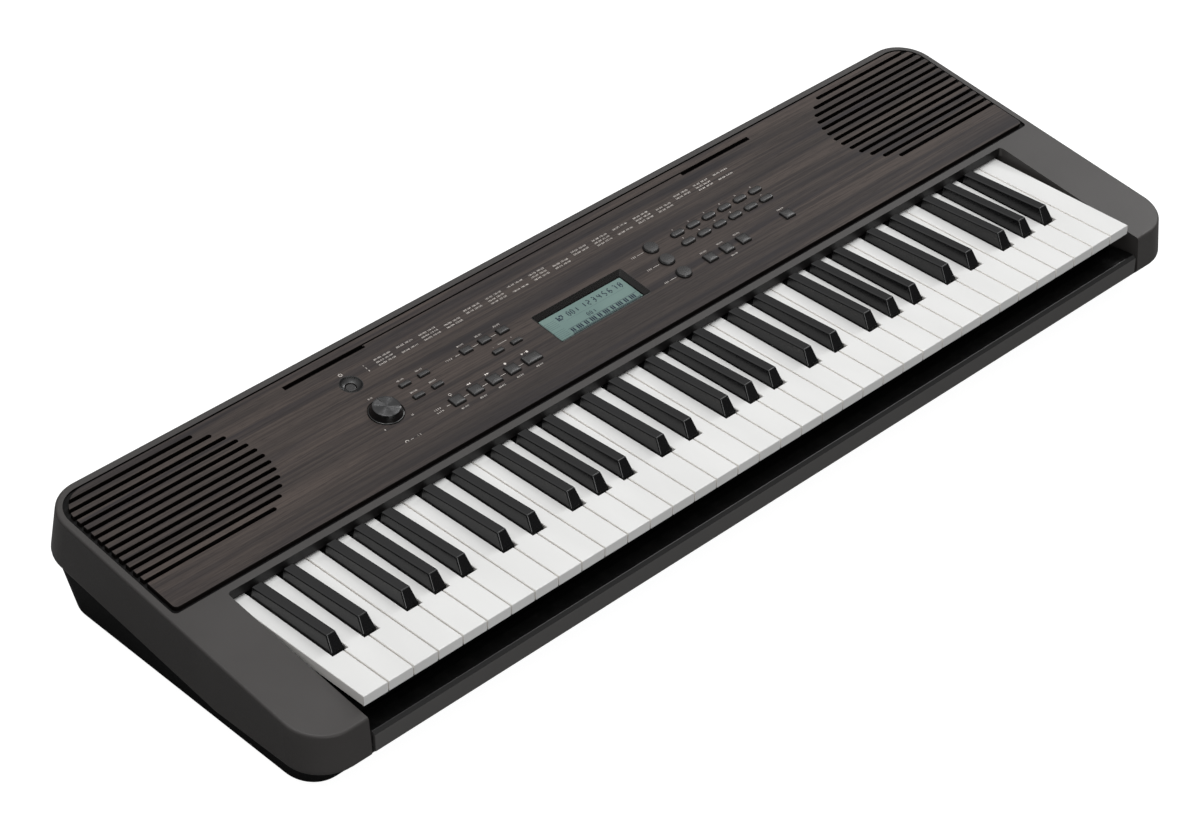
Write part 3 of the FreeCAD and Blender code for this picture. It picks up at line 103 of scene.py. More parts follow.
# Materials
class Paint:
    """A node material built around one Principled shader."""

    # The Mix node's colour sockets, which share their names with its other kinds
    MIX_FIRST = 6
    MIX_SECOND = 7
    MIX_RESULT = 2

    def __init__(self, name, **sockets):
        self.material = bpy.data.materials.new(name)
        self.material.use_nodes = True
        self.tree = self.material.node_tree
        self.shader = self.tree.nodes["Principled BSDF"]
        for socket, value in sockets.items():
            self.shader.inputs[socket.replace("_", " ")].default_value = value

    def node(self, kind, inputs=None, **settings):
        made = self.tree.nodes.new(f"ShaderNode{kind}")
        for name, value in settings.items():
            setattr(made, name, value)
        for key, value in (inputs or {}).items():
            self.feed(made.inputs[key], value)
        return made

    def feed(self, socket, value):
        if isinstance(value, bpy.types.NodeSocket):
            self.tree.links.new(value, socket)
        else:
            socket.default_value = value

    def place(self, scale):
        """Frame coordinates, stretched."""
        coordinates = self.node("TexCoord").outputs["Object"]
        return self.node("Mapping", {"Vector": coordinates, "Scale": scale}).outputs["Vector"]

    def noise(self, scale, detail=2.0, roughness=0.5, distortion=0.0):
        made = self.node("TexNoise", {
            "Vector": self.place(scale), "Scale": 1.0, "Detail": detail, "Roughness": roughness,
            "Distortion": distortion,
        })
        return made.outputs["Fac"]

    def grey(self, value, low, high, start=0.35, end=0.65):
        """Values from start to end spread over low to high, and held there beyond."""
        return self.node("MapRange", {
            "Value": value, "From Min": start, "From Max": end, "To Min": low, "To Max": high,
        }).outputs["Result"]

    def maths(self, operation, first, second=0.0):
        return self.node("Math", {0: first, 1: second}, operation=operation).outputs[0]

    def within(self, value, middle, margin):
        """1 where a value is no further than a margin from a middle, 0 elsewhere."""
        return self.node("Math", {0: value, 1: middle, 2: margin}, operation="COMPARE").outputs[0]

    def mix(self, factor, first, second):
        made = self.node("Mix", data_type="RGBA")
        self.feed(made.inputs["Factor"], factor)
        self.feed(made.inputs[self.MIX_FIRST], first)
        self.feed(made.inputs[self.MIX_SECOND], second)
        return made.outputs[self.MIX_RESULT]

    def dot(self, vector, axis):
        made = self.node("VectorMath", {0: vector, 1: tuple(axis)}, operation="DOT_PRODUCT")
        return made.outputs["Value"]

    def along(self, axis, origin=(0.0, 0.0, 0.0)):
        """Distance along an axis of the frame from a point, in metres."""
        coordinates = self.node("TexCoord").outputs["Object"]
        arm = self.node("VectorMath", {0: coordinates, 1: tuple(origin)}, operation="SUBTRACT")
        return self.dot(arm.outputs[0], axis)

    def facing(self, axis):
        """How far the surface faces along an axis of the frame, from -1 to 1."""
        return self.dot(self.node("NewGeometry").outputs["Normal"], axis)

    def bump(self, height, strength, distance):
        made = self.node("Bump", {"Height": height, "Strength": strength, "Distance": distance})
        self.tree.links.new(made.outputs["Normal"], self.shader.inputs["Normal"])

    def set(self, socket, value):
        self.feed(self.shader.inputs[socket], value)


def rgb(red, green, blue):
    """Linear colour from screen values of 0 to 255."""
    def linear(value):
        share = value / 255.0
        return share / 12.92 if share <= 0.04045 else ((share + 0.055) / 1.055) ** 2.4
    return (linear(red), linear(green), linear(blue), 1.0)


FINE_GRAIN = (1500, 1500, 1500)
GRAIN_DEPTH = 0.0002


def moulded(name, dark, light, rough, grain, specular=0.5):
    """Moulded plastic: a fine spark-eroded grain and slight changes of tone and gloss."""
    paint = Paint(name, Specular_IOR_Level=specular)
    cloud = paint.noise((18, 18, 18), detail=3.0)
    paint.set("Base Color", paint.mix(paint.grey(cloud, 0.0, 1.0), dark, light))
    fine = paint.noise(FINE_GRAIN, detail=1.0)
    paint.set("Roughness", paint.grey(fine, rough - 0.05, rough + 0.05))
    paint.bump(fine, grain, GRAIN_DEPTH)
    return paint.material


def polished(name, dark, light, rough, specular=0.5):
    """Smooth glossy plastic with slow changes of tone and gloss."""
    paint = Paint(name, Specular_IOR_Level=specular)
    cloud = paint.noise((25, 12, 12), detail=2.0)
    paint.set("Base Color", paint.mix(paint.grey(cloud, 0.0, 1.0), dark, light))
    paint.set("Roughness", paint.grey(cloud, rough - 0.02, rough + 0.02))
    return paint.material


def panel_seam_shade(paint):
    """1 in the sunk seat of the panel, which has round rear corners and is painted black as shade, and 0
    elsewhere.
    """
    origin = PANEL_ORIGIN * MM
    corner = (PANEL_CORNER + SEAM_MARGIN) * MM
    end = (PANEL_HALF + PANEL_GROOVE + SEAM_MARGIN) * MM - corner
    rear = (PANEL_LENGTH + PANEL_GROOVE + SEAM_MARGIN) * MM - corner
    across = paint.maths("ABSOLUTE", paint.along(PANEL_U))
    slope = paint.along(PANEL_V, origin)
    past_end = paint.maths("MAXIMUM", paint.maths("SUBTRACT", across, end))
    past_rear = paint.maths("MAXIMUM", paint.maths("SUBTRACT", slope, rear))
    spread = paint.maths("ADD", paint.maths("POWER", past_end, 2.0), paint.maths("POWER", past_rear, 2.0))
    inside = paint.maths("LESS_THAN", spread, corner ** 2)
    behind = paint.maths("GREATER_THAN", slope, SEAM_FRONT * MM)
    sunk = paint.maths("LESS_THAN", paint.along(PANEL_W, origin), SEAM_TOP * MM)
    return paint.maths("MULTIPLY", paint.maths("MULTIPLY", inside, behind), sunk)


def case_plastic():
    """Upper case: warm dark grey grain, painted black shade in the panel's seat, and black on the wall
    behind the keys.
    """
    paint = Paint("case_grain", Specular_IOR_Level=0.25)
    cloud = paint.noise((14, 14, 14), detail=3.0)
    tone = paint.mix(paint.grey(cloud, 0.0, 1.0), rgb(56, 54, 53), rgb(60, 58, 57))
    near = paint.within(paint.along((0, 1, 0)), WELL_REAR * MM, WELL_MARGIN * MM)
    front_face = paint.grey(paint.facing((0, -1, 0)), 0.0, 1.0, 0.7, 0.95)
    tone = paint.mix(paint.maths("MULTIPLY", near, front_face), tone, rgb(20, 19, 19))
    # Painted shade: the sunk seat round the panel is coloured near black in place of the shadow in the
    # groove
    seam_shade = panel_seam_shade(paint)
    paint.set("Base Color", paint.mix(seam_shade, tone, rgb(5, 4, 4)))
    fine = paint.noise(FINE_GRAIN, detail=1.0)
    dull = paint.maths("MULTIPLY", seam_shade, 0.4)
    paint.set("Roughness", paint.maths("ADD", paint.grey(fine, 0.4, 0.5), dull))
    paint.bump(fine, 0.2, GRAIN_DEPTH)
    return paint.material


def wood():
    """Dark walnut with long fine grain from end to end; cut edges are nearly black."""
    paint = Paint("panel_walnut", Specular_IOR_Level=0.1)
    broad = paint.noise((1.3, 30.0, 20.0), detail=2.0, distortion=0.5)
    band = paint.noise((2.2, 62.0, 30.0), detail=3.0, roughness=0.55, distortion=0.6)
    streak = paint.noise((3.2, 230.0, 90.0), detail=2.0, roughness=0.5, distortion=0.3)
    line = paint.noise((9.0, 620.0, 200.0), detail=3.0, roughness=0.6)
    pore = paint.noise((75.0, 2600.0, 600.0), detail=1.0)
    tone = paint.mix(paint.grey(broad, 0.0, 1.0, 0.35, 0.65), rgb(57, 52, 50), rgb(74, 66, 62))
    tone = paint.mix(paint.grey(band, 0.8, 0.0, 0.36, 0.5), tone, rgb(41, 39, 42))
    tone = paint.mix(paint.grey(streak, 0.5, 0.0, 0.36, 0.48), tone, rgb(39, 37, 39))
    tone = paint.mix(paint.grey(line, 0.45, 0.0, 0.36, 0.56), tone, rgb(40, 37, 37))
    tone = paint.mix(paint.grey(pore, 0.5, 0.0, 0.3, 0.44), tone, rgb(31, 28, 28))
    top = paint.grey(paint.facing(PANEL_W), 0.0, 1.0, 0.8, 0.95)
    paint.set("Base Color", paint.mix(top, rgb(16, 13, 12), tone))
    paint.set("Roughness", paint.grey(line, 0.5, 0.4))
    paint.bump(paint.mix(0.5, line, pore), 0.1, GRAIN_DEPTH)
    return paint.material


def key_white():
    """Polished white keys with faint mould clouding, and flanks painted paler and warmer to stand in for
    light bounced between the keys.
    """
    paint = Paint("key_white", Specular_IOR_Level=0.35, Coat_Weight=0.1, Coat_Roughness=0.25)
    cloud = paint.noise((30, 12, 12), detail=2.0)
    tone = paint.mix(paint.grey(cloud, 0.0, 1.0), (0.63, 0.63, 0.622, 1), (0.66, 0.66, 0.652, 1))
    # Painted light: faces turned to the sides get a paler, warmer colour in place of light bounced within
    # the gaps between keys
    flank_painted_light = paint.grey(paint.maths("ABSOLUTE", paint.facing((1, 0, 0))), 0.0, 1.0, 0.5, 0.9)
    paint.set("Base Color", paint.mix(flank_painted_light, tone, (0.84, 0.82, 0.79, 1)))
    fine = paint.noise((700, 700, 700), detail=2.0)
    paint.set("Roughness", paint.grey(fine, 0.34, 0.42))
    paint.bump(fine, 0.03, GRAIN_DEPTH)
    return paint.material


def rail_black():
    """Key slip: polished on top, finely textured on its face."""
    paint = Paint("rail_black", Specular_IOR_Level=0.3)
    top = paint.grey(paint.facing((0, 0, 1)), 0.0, 1.0, 0.3, 0.8)
    fine = paint.noise(FINE_GRAIN, detail=1.0)
    paint.set("Base Color", paint.mix(top, rgb(74, 73, 72), rgb(9, 9, 9)))
    paint.set("Roughness", paint.grey(top, 0.5, 0.2, 0.0, 1.0))
    paint.bump(fine, 0.06, GRAIN_DEPTH)
    return paint.material


def spun_metal():
    """Turned aluminium: fine rings about the piece's own axis."""
    paint = Paint("knob_spun", Metallic=1.0, Anisotropic=1.0, Anisotropic_Rotation=0.25)
    centre = paint.node("TexCoord").outputs["Object"]
    wave = {"Vector": centre, "Scale": 900.0, "Distortion": 1.2, "Detail": 2.0}
    rings = paint.node("TexWave", wave, wave_type="RINGS", rings_direction="Z").outputs["Fac"]
    paint.set("Base Color", paint.mix(rings, (0.06, 0.06, 0.061, 1), (0.08, 0.08, 0.081, 1)))
    paint.set("Roughness", paint.grey(rings, 0.28, 0.34, 0.0, 1.0))
    paint.set("Tangent", paint.node("Tangent", direction_type="RADIAL", axis="Z").outputs["Tangent"])
    paint.bump(rings, 0.05, 0.00005)
    return paint.material


def display_glass():
    """Pale green liquid-crystal layer with a fine grain and slow changes of tone."""
    paint = Paint("display_green", Specular_IOR_Level=0.12)
    cloud = paint.noise((40, 40, 40), detail=2.0)
    fine = paint.noise((3000, 3000, 3000), detail=0.0)
    tone = paint.mix(paint.grey(cloud, 0.0, 1.0), rgb(101, 122, 118), rgb(107, 128, 123))
    paint.set("Base Color", paint.mix(paint.grey(fine, 0.0, 0.12), tone, rgb(82, 101, 98)))
    paint.set("Roughness", paint.grey(cloud, 0.3, 0.36))
    return paint.material


MATERIALS = {
    "case": case_plastic(),
    "tub": moulded("tub_grain", rgb(9, 9, 9), rgb(12, 12, 12), 0.55, 0.2, 0.06),
    "wood": wood(),
    "rail": rail_black(),
    "white": key_white(),
    "black": polished("key_black", rgb(9, 9, 10), rgb(12, 12, 13), 0.22, 0.5),
    "button": moulded("button_grain", rgb(32, 31, 31), rgb(36, 35, 35), 0.3, 0.03, 0.5),
    "board": moulded("board_green", rgb(20, 70, 40), rgb(26, 84, 48), 0.5, 0.1),
    "speaker": moulded("speaker_paper", rgb(7, 7, 7), rgb(11, 11, 11), 0.8, 0.5, 0.1),
    "jack": moulded("jack_plastic", rgb(16, 16, 17), rgb(22, 22, 23), 0.3, 0.1),
    "rubber": moulded("foot_rubber_grain", rgb(24, 24, 24), rgb(32, 32, 32), 0.8, 0.4, 0.3),
    "steel": moulded("screw_black_steel", rgb(60, 60, 62), rgb(78, 78, 80), 0.35, 0.2),
    "screen": moulded("display_body", rgb(14, 14, 14), rgb(19, 19, 19), 0.4, 0.1, 0.3),
    "gloss": moulded("gloss_black", rgb(9, 9, 9), rgb(13, 13, 13), 0.16, 0.03, 0.5),
    "bezel": moulded("bezel_plastic", rgb(19, 18, 17), rgb(23, 22, 21), 0.26, 0.03, 0.3),
    "dish": moulded("dish_plastic", rgb(17, 17, 17), rgb(22, 22, 22), 0.32, 0.03, 0.5),
    "spun": spun_metal(),
    "glass": display_glass(),
    "segment": moulded("display_segment", rgb(30, 38, 52), rgb(34, 42, 56), 0.35, 0.02, 0.12),
    "faint": moulded("display_faint", rgb(58, 72, 74), rgb(62, 76, 78), 0.35, 0.02, 0.12),
    "ink": moulded("ink_white", rgb(196, 190, 184), rgb(206, 200, 194), 0.6, 0.02, 0.3),
}

NODE_MATERIALS = {
    "upper_case": "case", "lower_case": "tub", "control_panel": "wood", "front_rail": "rail",
    "key_chassis": "tub", "contact_boards": "board", "circuit_boards": "board", "display_module": "screen",
    "speakers": "speaker", "rear_jacks": "jack", "rubber_feet": "rubber", "case_screws": "steel",
}


def material_key(node):
    """The key of a CAD node's material; what isn't listed is a button or the knob's core."""
    if node.startswith("white_key"):
        return "white"
    if node.startswith("black_keys"):
        return "black"
    return NODE_MATERIALS.get(node, "button")


for node_name, node_object in nodes.items():
    node_object.data.materials.clear()
    node_object.data.materials.append(MATERIALS[material_key(node_name)])


# Mesh helpers
SHARP_ANGLE = math.radians(38)


def add_object(name, data):
    made = bpy.data.objects.new(name, data)
    bpy.context.scene.collection.objects.link(made)
    return made


def make_piece(name, form, materials, body, place=None):
    """Turn a mesh drawn in panel millimetres, or about its own place, into a piece that rides on a body."""
    form.transform(PANEL if place is None else Matrix.Scale(MM, 4))
    mesh = bpy.data.meshes.new(name)
    bmesh.ops.recalc_face_normals(form, faces=form.faces)
    form.to_mesh(mesh)
    form.free()
    for polygon in mesh.polygons:
        polygon.use_smooth = True
    mesh.set_sharp_from_angle(angle=SHARP_ANGLE)
    for key in materials:
        mesh.materials.append(MATERIALS[key])
    piece = add_object(name, mesh)
    if place is not None:
        piece.matrix_world = place
    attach(piece, body)
    return piece


def bridge(form, rings, material=0, closed=True):
    """Skin between rings of points; each ring has the same count."""
    made = [[form.verts.new(point) for point in ring] for ring in rings]
    count = len(made[0])
    for lower, upper in zip(made, made[1:]):
        for index in range(count if closed else count - 1):
            after = (index + 1) % count
            face = form.faces.new((lower[index], lower[after], upper[after], upper[index]))
            face.material_index = material
    return made


def fill(form, ring, point, material=0):
    """Close a ring of vertices to one point."""
    tip = form.verts.new(point)
    for index, vertex in enumerate(ring):
        face = form.faces.new((vertex, ring[(index + 1) % len(ring)], tip))
        face.material_index = material


def lathe(form, profile, centre=(0.0, 0.0), steps=72, material=0):
    """Turn a profile of radius and height about the w axis."""
    rings = []
    for radius, height in profile:
        ring = []
        for step in range(steps):
            angle = 2 * math.pi * step / steps
            across = centre[0] + radius * math.cos(angle)
            along = centre[1] + radius * math.sin(angle)
            ring.append((across, along, height))
        rings.append(ring)
    return bridge(form, rings, material)


def rounded_outline(u, v, width, length, corner, steps=6):
    """Points round a rectangle with round corners."""
    corner = min(corner, width / 2 - 0.01, length / 2 - 0.01)
    points = []
    for quarter, (right, rear) in enumerate(((1, 1), (-1, 1), (-1, -1), (1, -1))):
        centre_u = u + right * (width / 2 - corner)
        centre_v = v + rear * (length / 2 - corner)
        for step in range(steps + 1):
            angle = math.pi / 2 * (quarter + step / steps)
            points.append((centre_u + corner * math.cos(angle), centre_v + corner * math.sin(angle)))
    return points


def bar(form, left, front, right, rear, height, material=0):
    """A flat mark."""
    corners = [(left, front, height), (right, front, height), (right, rear, height), (left, rear, height)]
    face = form.faces.new([form.verts.new(corner) for corner in corners])
    face.material_index = material


# Buttons: each step of a cap's edge is an inset and a height
CAP_FOOT = -1.2
CAP_EDGE = ((-0.05, 1.02), (0.05, 1.32), (0.3, 1.64), (0.7, 1.78))
CAP_CROWN = 0.55
CAP_RINGS = (0.75, 0.5, 0.25)
CAP_LEAST_CORNER = 0.15


def cap(form, u, v, size, corner):
    """Button cap: upright sides, a soft edge and a crowned top, closed over the solid key below it."""
    width, length = size
    edge = ((CAP_EDGE[0][0], CAP_FOOT), *CAP_EDGE)
    rings = []
    for inset, height in edge:
        rounding = max(corner - inset, CAP_LEAST_CORNER)
        points = rounded_outline(u, v, width - 2 * inset, length - 2 * inset, rounding)
        rings.append([(x, y, height) for x, y in points])
    rim_height = CAP_EDGE[-1][1]
    crown = CAP_CROWN * min(width, length) / SONG[1]

    def top(x, y, share):
        across = (2 * (x - u) / width) ** 2 + (2 * (y - v) / length) ** 2
        return rim_height + crown * (1 - across * share ** 2 / 2)

    rim = rings[-1]
    rings[-1] = [(x, y, top(x, y, 1.0)) for x, y, _ in rim]
    for share in CAP_RINGS:
        ring = [(u + (x - u) * share, v + (y - v) * share, top(x, y, share)) for x, y, _ in rim]
        rings.append(ring)
    made = bridge(form, rings)
    fill(form, made[-1], (u, v, rim_height + crown))


def make_button_caps():
    """Crowned caps over each group of buttons, one piece for a group."""
    rows = {
        "mode_buttons": [(u, v, SMALL, SQUARE_CORNER) for u in MODE_U for v in (UPPER_ROW, SECOND_ROW)],
        "song_buttons": [(u, LOWER_ROW, SONG, SQUARE_CORNER) for u in SONG_U],
        "category_buttons": [(ROUND_U, v, ROUND, ROUND[1]) for v in (UPPER_ROW, ROUND_ROW, LOWER_ROW)],
        "number_buttons": [(u, v, NUMBER, NUMBER[1]) for u in NUMBER_U for v in (UPPER_ROW, NUMBER_ROW)],
        "function_buttons": [(u, LOWER_ROW, FUNCTION, SQUARE_CORNER) for u in FUNCTION_U],
    }
    rows["mode_buttons"] += [(u, UPPER_ROW, LESSON, SQUARE_CORNER) for u in LESSON_U]
    rows["mode_buttons"] += [(u, SECOND_ROW, SMALL, SQUARE_CORNER) for u in LESSON_U[1:]]
    rows["song_buttons"].append((SONG_LAST_U, LOWER_ROW, SONG_LAST, SQUARE_CORNER))
    for body, caps in rows.items():
        form = bmesh.new()
        for u, v, size, corner in caps:
            cap(form, u, v, size, corner)
        make_piece(f"{body}_caps", form, ["button"], body)


# Volume knob and power dish: profiles are radius and height
KNOB_BASE = 13.8
KNOB_BODY = 13.25
KNOB_TOP = 11.0
KNOB_RISE = 6.2
KNOB_FOOT = -1.3
KNOB_CROWN = KNOB_RISE + 0.06
KNOB_EDGE = (KNOB_TOP + 0.1, KNOB_RISE - 0.45)
KNOB_SKIRT = (
    (0.5, KNOB_FOOT), (KNOB_BASE, KNOB_FOOT), (KNOB_BASE, -0.1), (KNOB_BASE - 0.12, 0.2),
    (KNOB_BASE - 0.35, 0.3), (KNOB_BODY, 0.32), (KNOB_BODY - 0.15, 0.5), (KNOB_BODY - 0.25, 1.0),
    (KNOB_TOP + 0.3, KNOB_RISE - 1.0), KNOB_EDGE,
)
KNOB_METAL = (
    KNOB_EDGE, (KNOB_TOP - 0.1, KNOB_RISE - 0.15), (KNOB_TOP - 0.5, KNOB_RISE), (9.0, KNOB_RISE + 0.03),
    (6.0, KNOB_RISE + 0.05), (3.0, KNOB_CROWN), (0.8, KNOB_CROWN),
)
KNOB_STEPS = 96
POINTER_V = 8.0
POINTER_WIDTH = 0.7
POINTER_LENGTH = 5.6
POINTER_CORNER = 0.3
POINTER_FOOT = KNOB_RISE - 0.2
POINTER_TOP = KNOB_RISE + 0.09

DISH_RADIUS = 9.0
DISH_DEPTH = 4.0
DISH_BALL = (DISH_RADIUS ** 2 + DISH_DEPTH ** 2) / (2 * DISH_DEPTH)
DISH_RIM = ((DISH_RADIUS + 0.45, 0.02), (DISH_RADIUS + 0.35, 0.12), (DISH_RADIUS, 0.1))
DISH_LIFT = 0.06
DISH_HOLE = 4.75
DISH_STEPS = 12
DISH_SKIRT = 1.0


def make_knob():
    """Glossy black skirt and body with a spun metal top and a pointer line."""
    form = bmesh.new()
    lathe(form, KNOB_SKIRT, steps=KNOB_STEPS)
    made = lathe(form, KNOB_METAL, steps=KNOB_STEPS, material=1)
    fill(form, made[-1], (0, 0, KNOB_CROWN), material=1)
    outline = rounded_outline(0, POINTER_V, POINTER_WIDTH, POINTER_LENGTH, POINTER_CORNER)
    rings = [[(x, y, height) for x, y in outline] for height in (POINTER_FOOT, POINTER_TOP)]
    made = bridge(form, rings, material=2)
    fill(form, made[-1], (0, POINTER_V, POINTER_TOP), material=2)
    place = Matrix.Translation(on_panel(*KNOB)) @ PANEL_AXES
    materials = ["gloss", "spun", "screen"]
    piece = make_piece("knob_spun_top", form, materials, "volume_knob", place)
    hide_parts("volume_knob")


def make_power_dish():
    """Smooth bowl pressed into the panel round the power button."""
    form = bmesh.new()
    profile = list(DISH_RIM)
    for step in range(1, DISH_STEPS + 1):
        radius = DISH_RADIUS + (DISH_HOLE - DISH_RADIUS) * step / DISH_STEPS
        depth = math.sqrt(DISH_BALL ** 2 - radius ** 2) - (DISH_BALL - DISH_DEPTH)
        profile.append((radius, DISH_LIFT - depth))
    profile.append((DISH_HOLE, profile[-1][1] - DISH_SKIRT))
    lathe(form, profile, POWER)
    make_piece("power_dish", form, ["dish"], "case")


# Display
BEZEL_DRAFT = 3.7
BEZEL_LOW = -3.3
BEZEL_CORNER = 2.0
BEZEL_CORNER_LOSS = 1.4
GLASS_LEVEL = -4.12
GLASS_HALF = 46.0
GLASS_FRONT = 38.4
GLASS_REAR = 70.4
MARK_LEVEL = GLASS_LEVEL + 0.03
BEZEL_STEPS = (
    (-0.35, 0.05), (0.05, 0.1), (0.4, -0.25), (BEZEL_DRAFT, BEZEL_LOW), (BEZEL_DRAFT, GLASS_LEVEL),
)

# What the display shows, in panel millimetres; the numbers are the places of its materials
DISPLAY_MATERIALS = ["glass", "segment", "faint", "gloss"]
DARK = 1
FAINT = 2
# Painted shade: a near-black strip on the glass where the bezel's foot meets it, drawn in gloss black
EDGE_SHADE = 3
EDGE_SHADE_WIDTH = BEZEL_DRAFT + 0.7

SEGMENTS = {
    "0": "abcdef", "1": "bc", "2": "abged", "3": "abgcd", "4": "fgbc", "5": "afgcd", "6": "afgedc",
    "7": "abc", "8": "abcdefg",
}
DIGIT_WIDTH = 0.52
DIGIT_STROKE = 0.16

# Figures: text, left end, front edge, height and pitch
FIGURES = (
    ("001", -19.8, 58.6, 6.0, 4.1), ("12345678", -3.8, 58.6, 6.4, 5.8), ("001", -7.2, 49.6, 4.4, 3.2),
)

ICON_LEFT = -30.6
ICON_FRONT = 59.2
ICON_ROWS = 3
ICON_COLUMNS = 4
ICON_ROW_PITCH = 1.8
ICON_COLUMN_PITCH = 1.7
ICON_DOT = 1.5

DOTS = 54
DOTS_LEFT = -24.6
DOTS_FRONT = 56.6
DOTS_PITCH = 1.2
DOT_WIDTH = 0.6
DOT_LENGTH = 0.3

STAFF_LINES = 10
STAFF_FRONT = 43.4
STAFF_PITCH = 1.9
STAFF_GAP = 2.0
STAFF_RIGHT = -33.0
STAFF_INSET = 0.6
STAFF_STROKE = 0.22

PICTURE_LEFT = -31.2
PICTURE_RIGHT = 42.6
PICTURE_FRONT = 41.0
PICTURE_REAR = 47.6
PICTURE_KEYS = 36
PICTURE_WHITE_LEFT = 0.22
PICTURE_WHITE_RIGHT = 0.12
PICTURE_WHITE_LENGTH = 1.9
PICTURE_SHARP_LEFT = 0.62
PICTURE_SHARP_RIGHT = 1.32
PICTURE_SHARP_FRONT = PICTURE_FRONT + 2.3
PICTURE_LINE_FRONT = PICTURE_REAR + 0.35
PICTURE_LINE_REAR = PICTURE_REAR + 0.8
OCTAVE = 7
NO_SHARP_AFTER = (2, 6)


def segment_digit(form, digit, left, front, height, material):
    """One seven-bar figure."""
    width = DIGIT_WIDTH * height
    thick = DIGIT_STROKE * height
    half = height / 2
    bars = {
        "a": (thick, height - thick, width - thick, height),
        "b": (width - thick, half, width, height - thick),
        "c": (width - thick, thick, width, half),
        "d": (thick, 0, width - thick, thick),
        "e": (0, thick, thick, half),
        "f": (0, half, thick, height - thick),
        "g": (thick, half - thick / 2, width - thick, half + thick / 2),
    }
    for name in SEGMENTS[digit]:
        x0, y0, x1, y1 = bars[name]
        bar(form, left + x0, front + y0, left + x1, front + y1, MARK_LEVEL, material)


def make_bezel():
    """Sloping frame down from the wood to the glass."""
    form = bmesh.new()
    middle = (DISPLAY_FRONT + DISPLAY_REAR) / 2
    length = DISPLAY_REAR - DISPLAY_FRONT
    rings = []
    for inset, height in BEZEL_STEPS:
        corner = BEZEL_CORNER - min(inset, BEZEL_CORNER_LOSS)
        outline = rounded_outline(0, middle, 2 * (DISPLAY_HALF - inset), length - 2 * inset, corner)
        rings.append([(x, y, height) for x, y in outline])
    bridge(form, rings)
    make_piece("display_bezel", form, ["bezel"], "case")


def draw_edge_shade(form):
    """Painted shade on the glass at both ends and the rear, where the bezel's wall meets it."""
    left = -DISPLAY_HALF + EDGE_SHADE_WIDTH
    right = DISPLAY_HALF - EDGE_SHADE_WIDTH
    rear = DISPLAY_REAR - EDGE_SHADE_WIDTH
    bar(form, -GLASS_HALF, rear, GLASS_HALF, GLASS_REAR, MARK_LEVEL, EDGE_SHADE)
    bar(form, right, GLASS_FRONT, GLASS_HALF, rear, MARK_LEVEL, EDGE_SHADE)
    bar(form, -GLASS_HALF, GLASS_FRONT, left, rear, MARK_LEVEL, EDGE_SHADE)


def draw_icon(form):
    """Block of square dots with a few left out."""
    for row in range(ICON_ROWS):
        for column in range(ICON_COLUMNS):
            if (row + column) % 5 != 3:
                x = ICON_LEFT + ICON_COLUMN_PITCH * column
                y = ICON_FRONT + ICON_ROW_PITCH * row
                bar(form, x, y, x + ICON_DOT, y + ICON_DOT, MARK_LEVEL, DARK)


def draw_lines(form):
    """Dotted line under the figures and a double staff at the left end."""
    for step in range(DOTS):
        x = DOTS_LEFT + DOTS_PITCH * step
        bar(form, x, DOTS_FRONT, x + DOT_WIDTH, DOTS_FRONT + DOT_LENGTH, MARK_LEVEL, FAINT)
    left = -DISPLAY_HALF + EDGE_SHADE_WIDTH + STAFF_INSET
    for row in range(STAFF_LINES):
        y = STAFF_FRONT + STAFF_PITCH * row + (0.0 if row < STAFF_LINES / 2 else STAFF_GAP)
        bar(form, left, y, STAFF_RIGHT, y + STAFF_STROKE, MARK_LEVEL, FAINT)


def draw_keys(form):
    """Row of five octaves of keys, with a thin line behind them."""
    step = (PICTURE_RIGHT - PICTURE_LEFT) / PICTURE_KEYS
    for index in range(PICTURE_KEYS):
        x = PICTURE_LEFT + step * index
        left = x + PICTURE_WHITE_LEFT
        right = x + step - PICTURE_WHITE_RIGHT
        bar(form, left, PICTURE_FRONT, right, PICTURE_FRONT + PICTURE_WHITE_LENGTH, MARK_LEVEL, FAINT)
        if index % OCTAVE not in NO_SHARP_AFTER and index < PICTURE_KEYS - 1:
            left = x + PICTURE_SHARP_LEFT * step
            right = x + PICTURE_SHARP_RIGHT * step
            bar(form, left, PICTURE_SHARP_FRONT, right, PICTURE_REAR, MARK_LEVEL, DARK)
    bar(form, PICTURE_LEFT, PICTURE_LINE_FRONT, PICTURE_RIGHT, PICTURE_LINE_REAR, MARK_LEVEL, FAINT)


def make_display():
    """Liquid-crystal picture: painted shade along its ends and rear, figures, dots, a staff and a row of
    keys.
    """
    form = bmesh.new()
    bar(form, -GLASS_HALF, GLASS_FRONT, GLASS_HALF, GLASS_REAR, GLASS_LEVEL)
    # Painted shade round the glass's ends and rear, under the bezel's foot
    draw_edge_shade(form)
    for figures, left, front, height, pitch in FIGURES:
        for index, digit in enumerate(figures):
            segment_digit(form, digit, left + pitch * index, front, height, DARK)
    draw_icon(form)
    draw_lines(form)
    draw_keys(form)
    make_piece("display_picture", form, DISPLAY_MATERIALS, "case")


# Marks printed on the wood, in panel millimetres
PRINT_LEVEL = 0.04
PRINT_SIZE = 2.3
SMALL_PRINT = 2.1
PRINT_LINE = 0.3

LIST_BLOCKS = 17
LIST_PITCH = 23.2
LIST_LEFT = -170.0
LIST_NUMBER_U = -188.5
LIST_ROWS = (110.6, 107.2, 103.8)

# From the middle of a button to the print above or below it
ABOVE_SMALL = 6.0
ABOVE_LESSON = 7.4
ABOVE_LOWER = 8.4
ABOVE_NUMBER = 5.9
BELOW_SONG = 9.0
BELOW_FUNCTION = 8.6

# From the middle of a button to the end of the line beside it
LESSON_CLEAR = 6.6
SONG_CLEAR = 6.8
SONG_LAST_REACH = 2.0
SIGN_CLEAR = 5.0

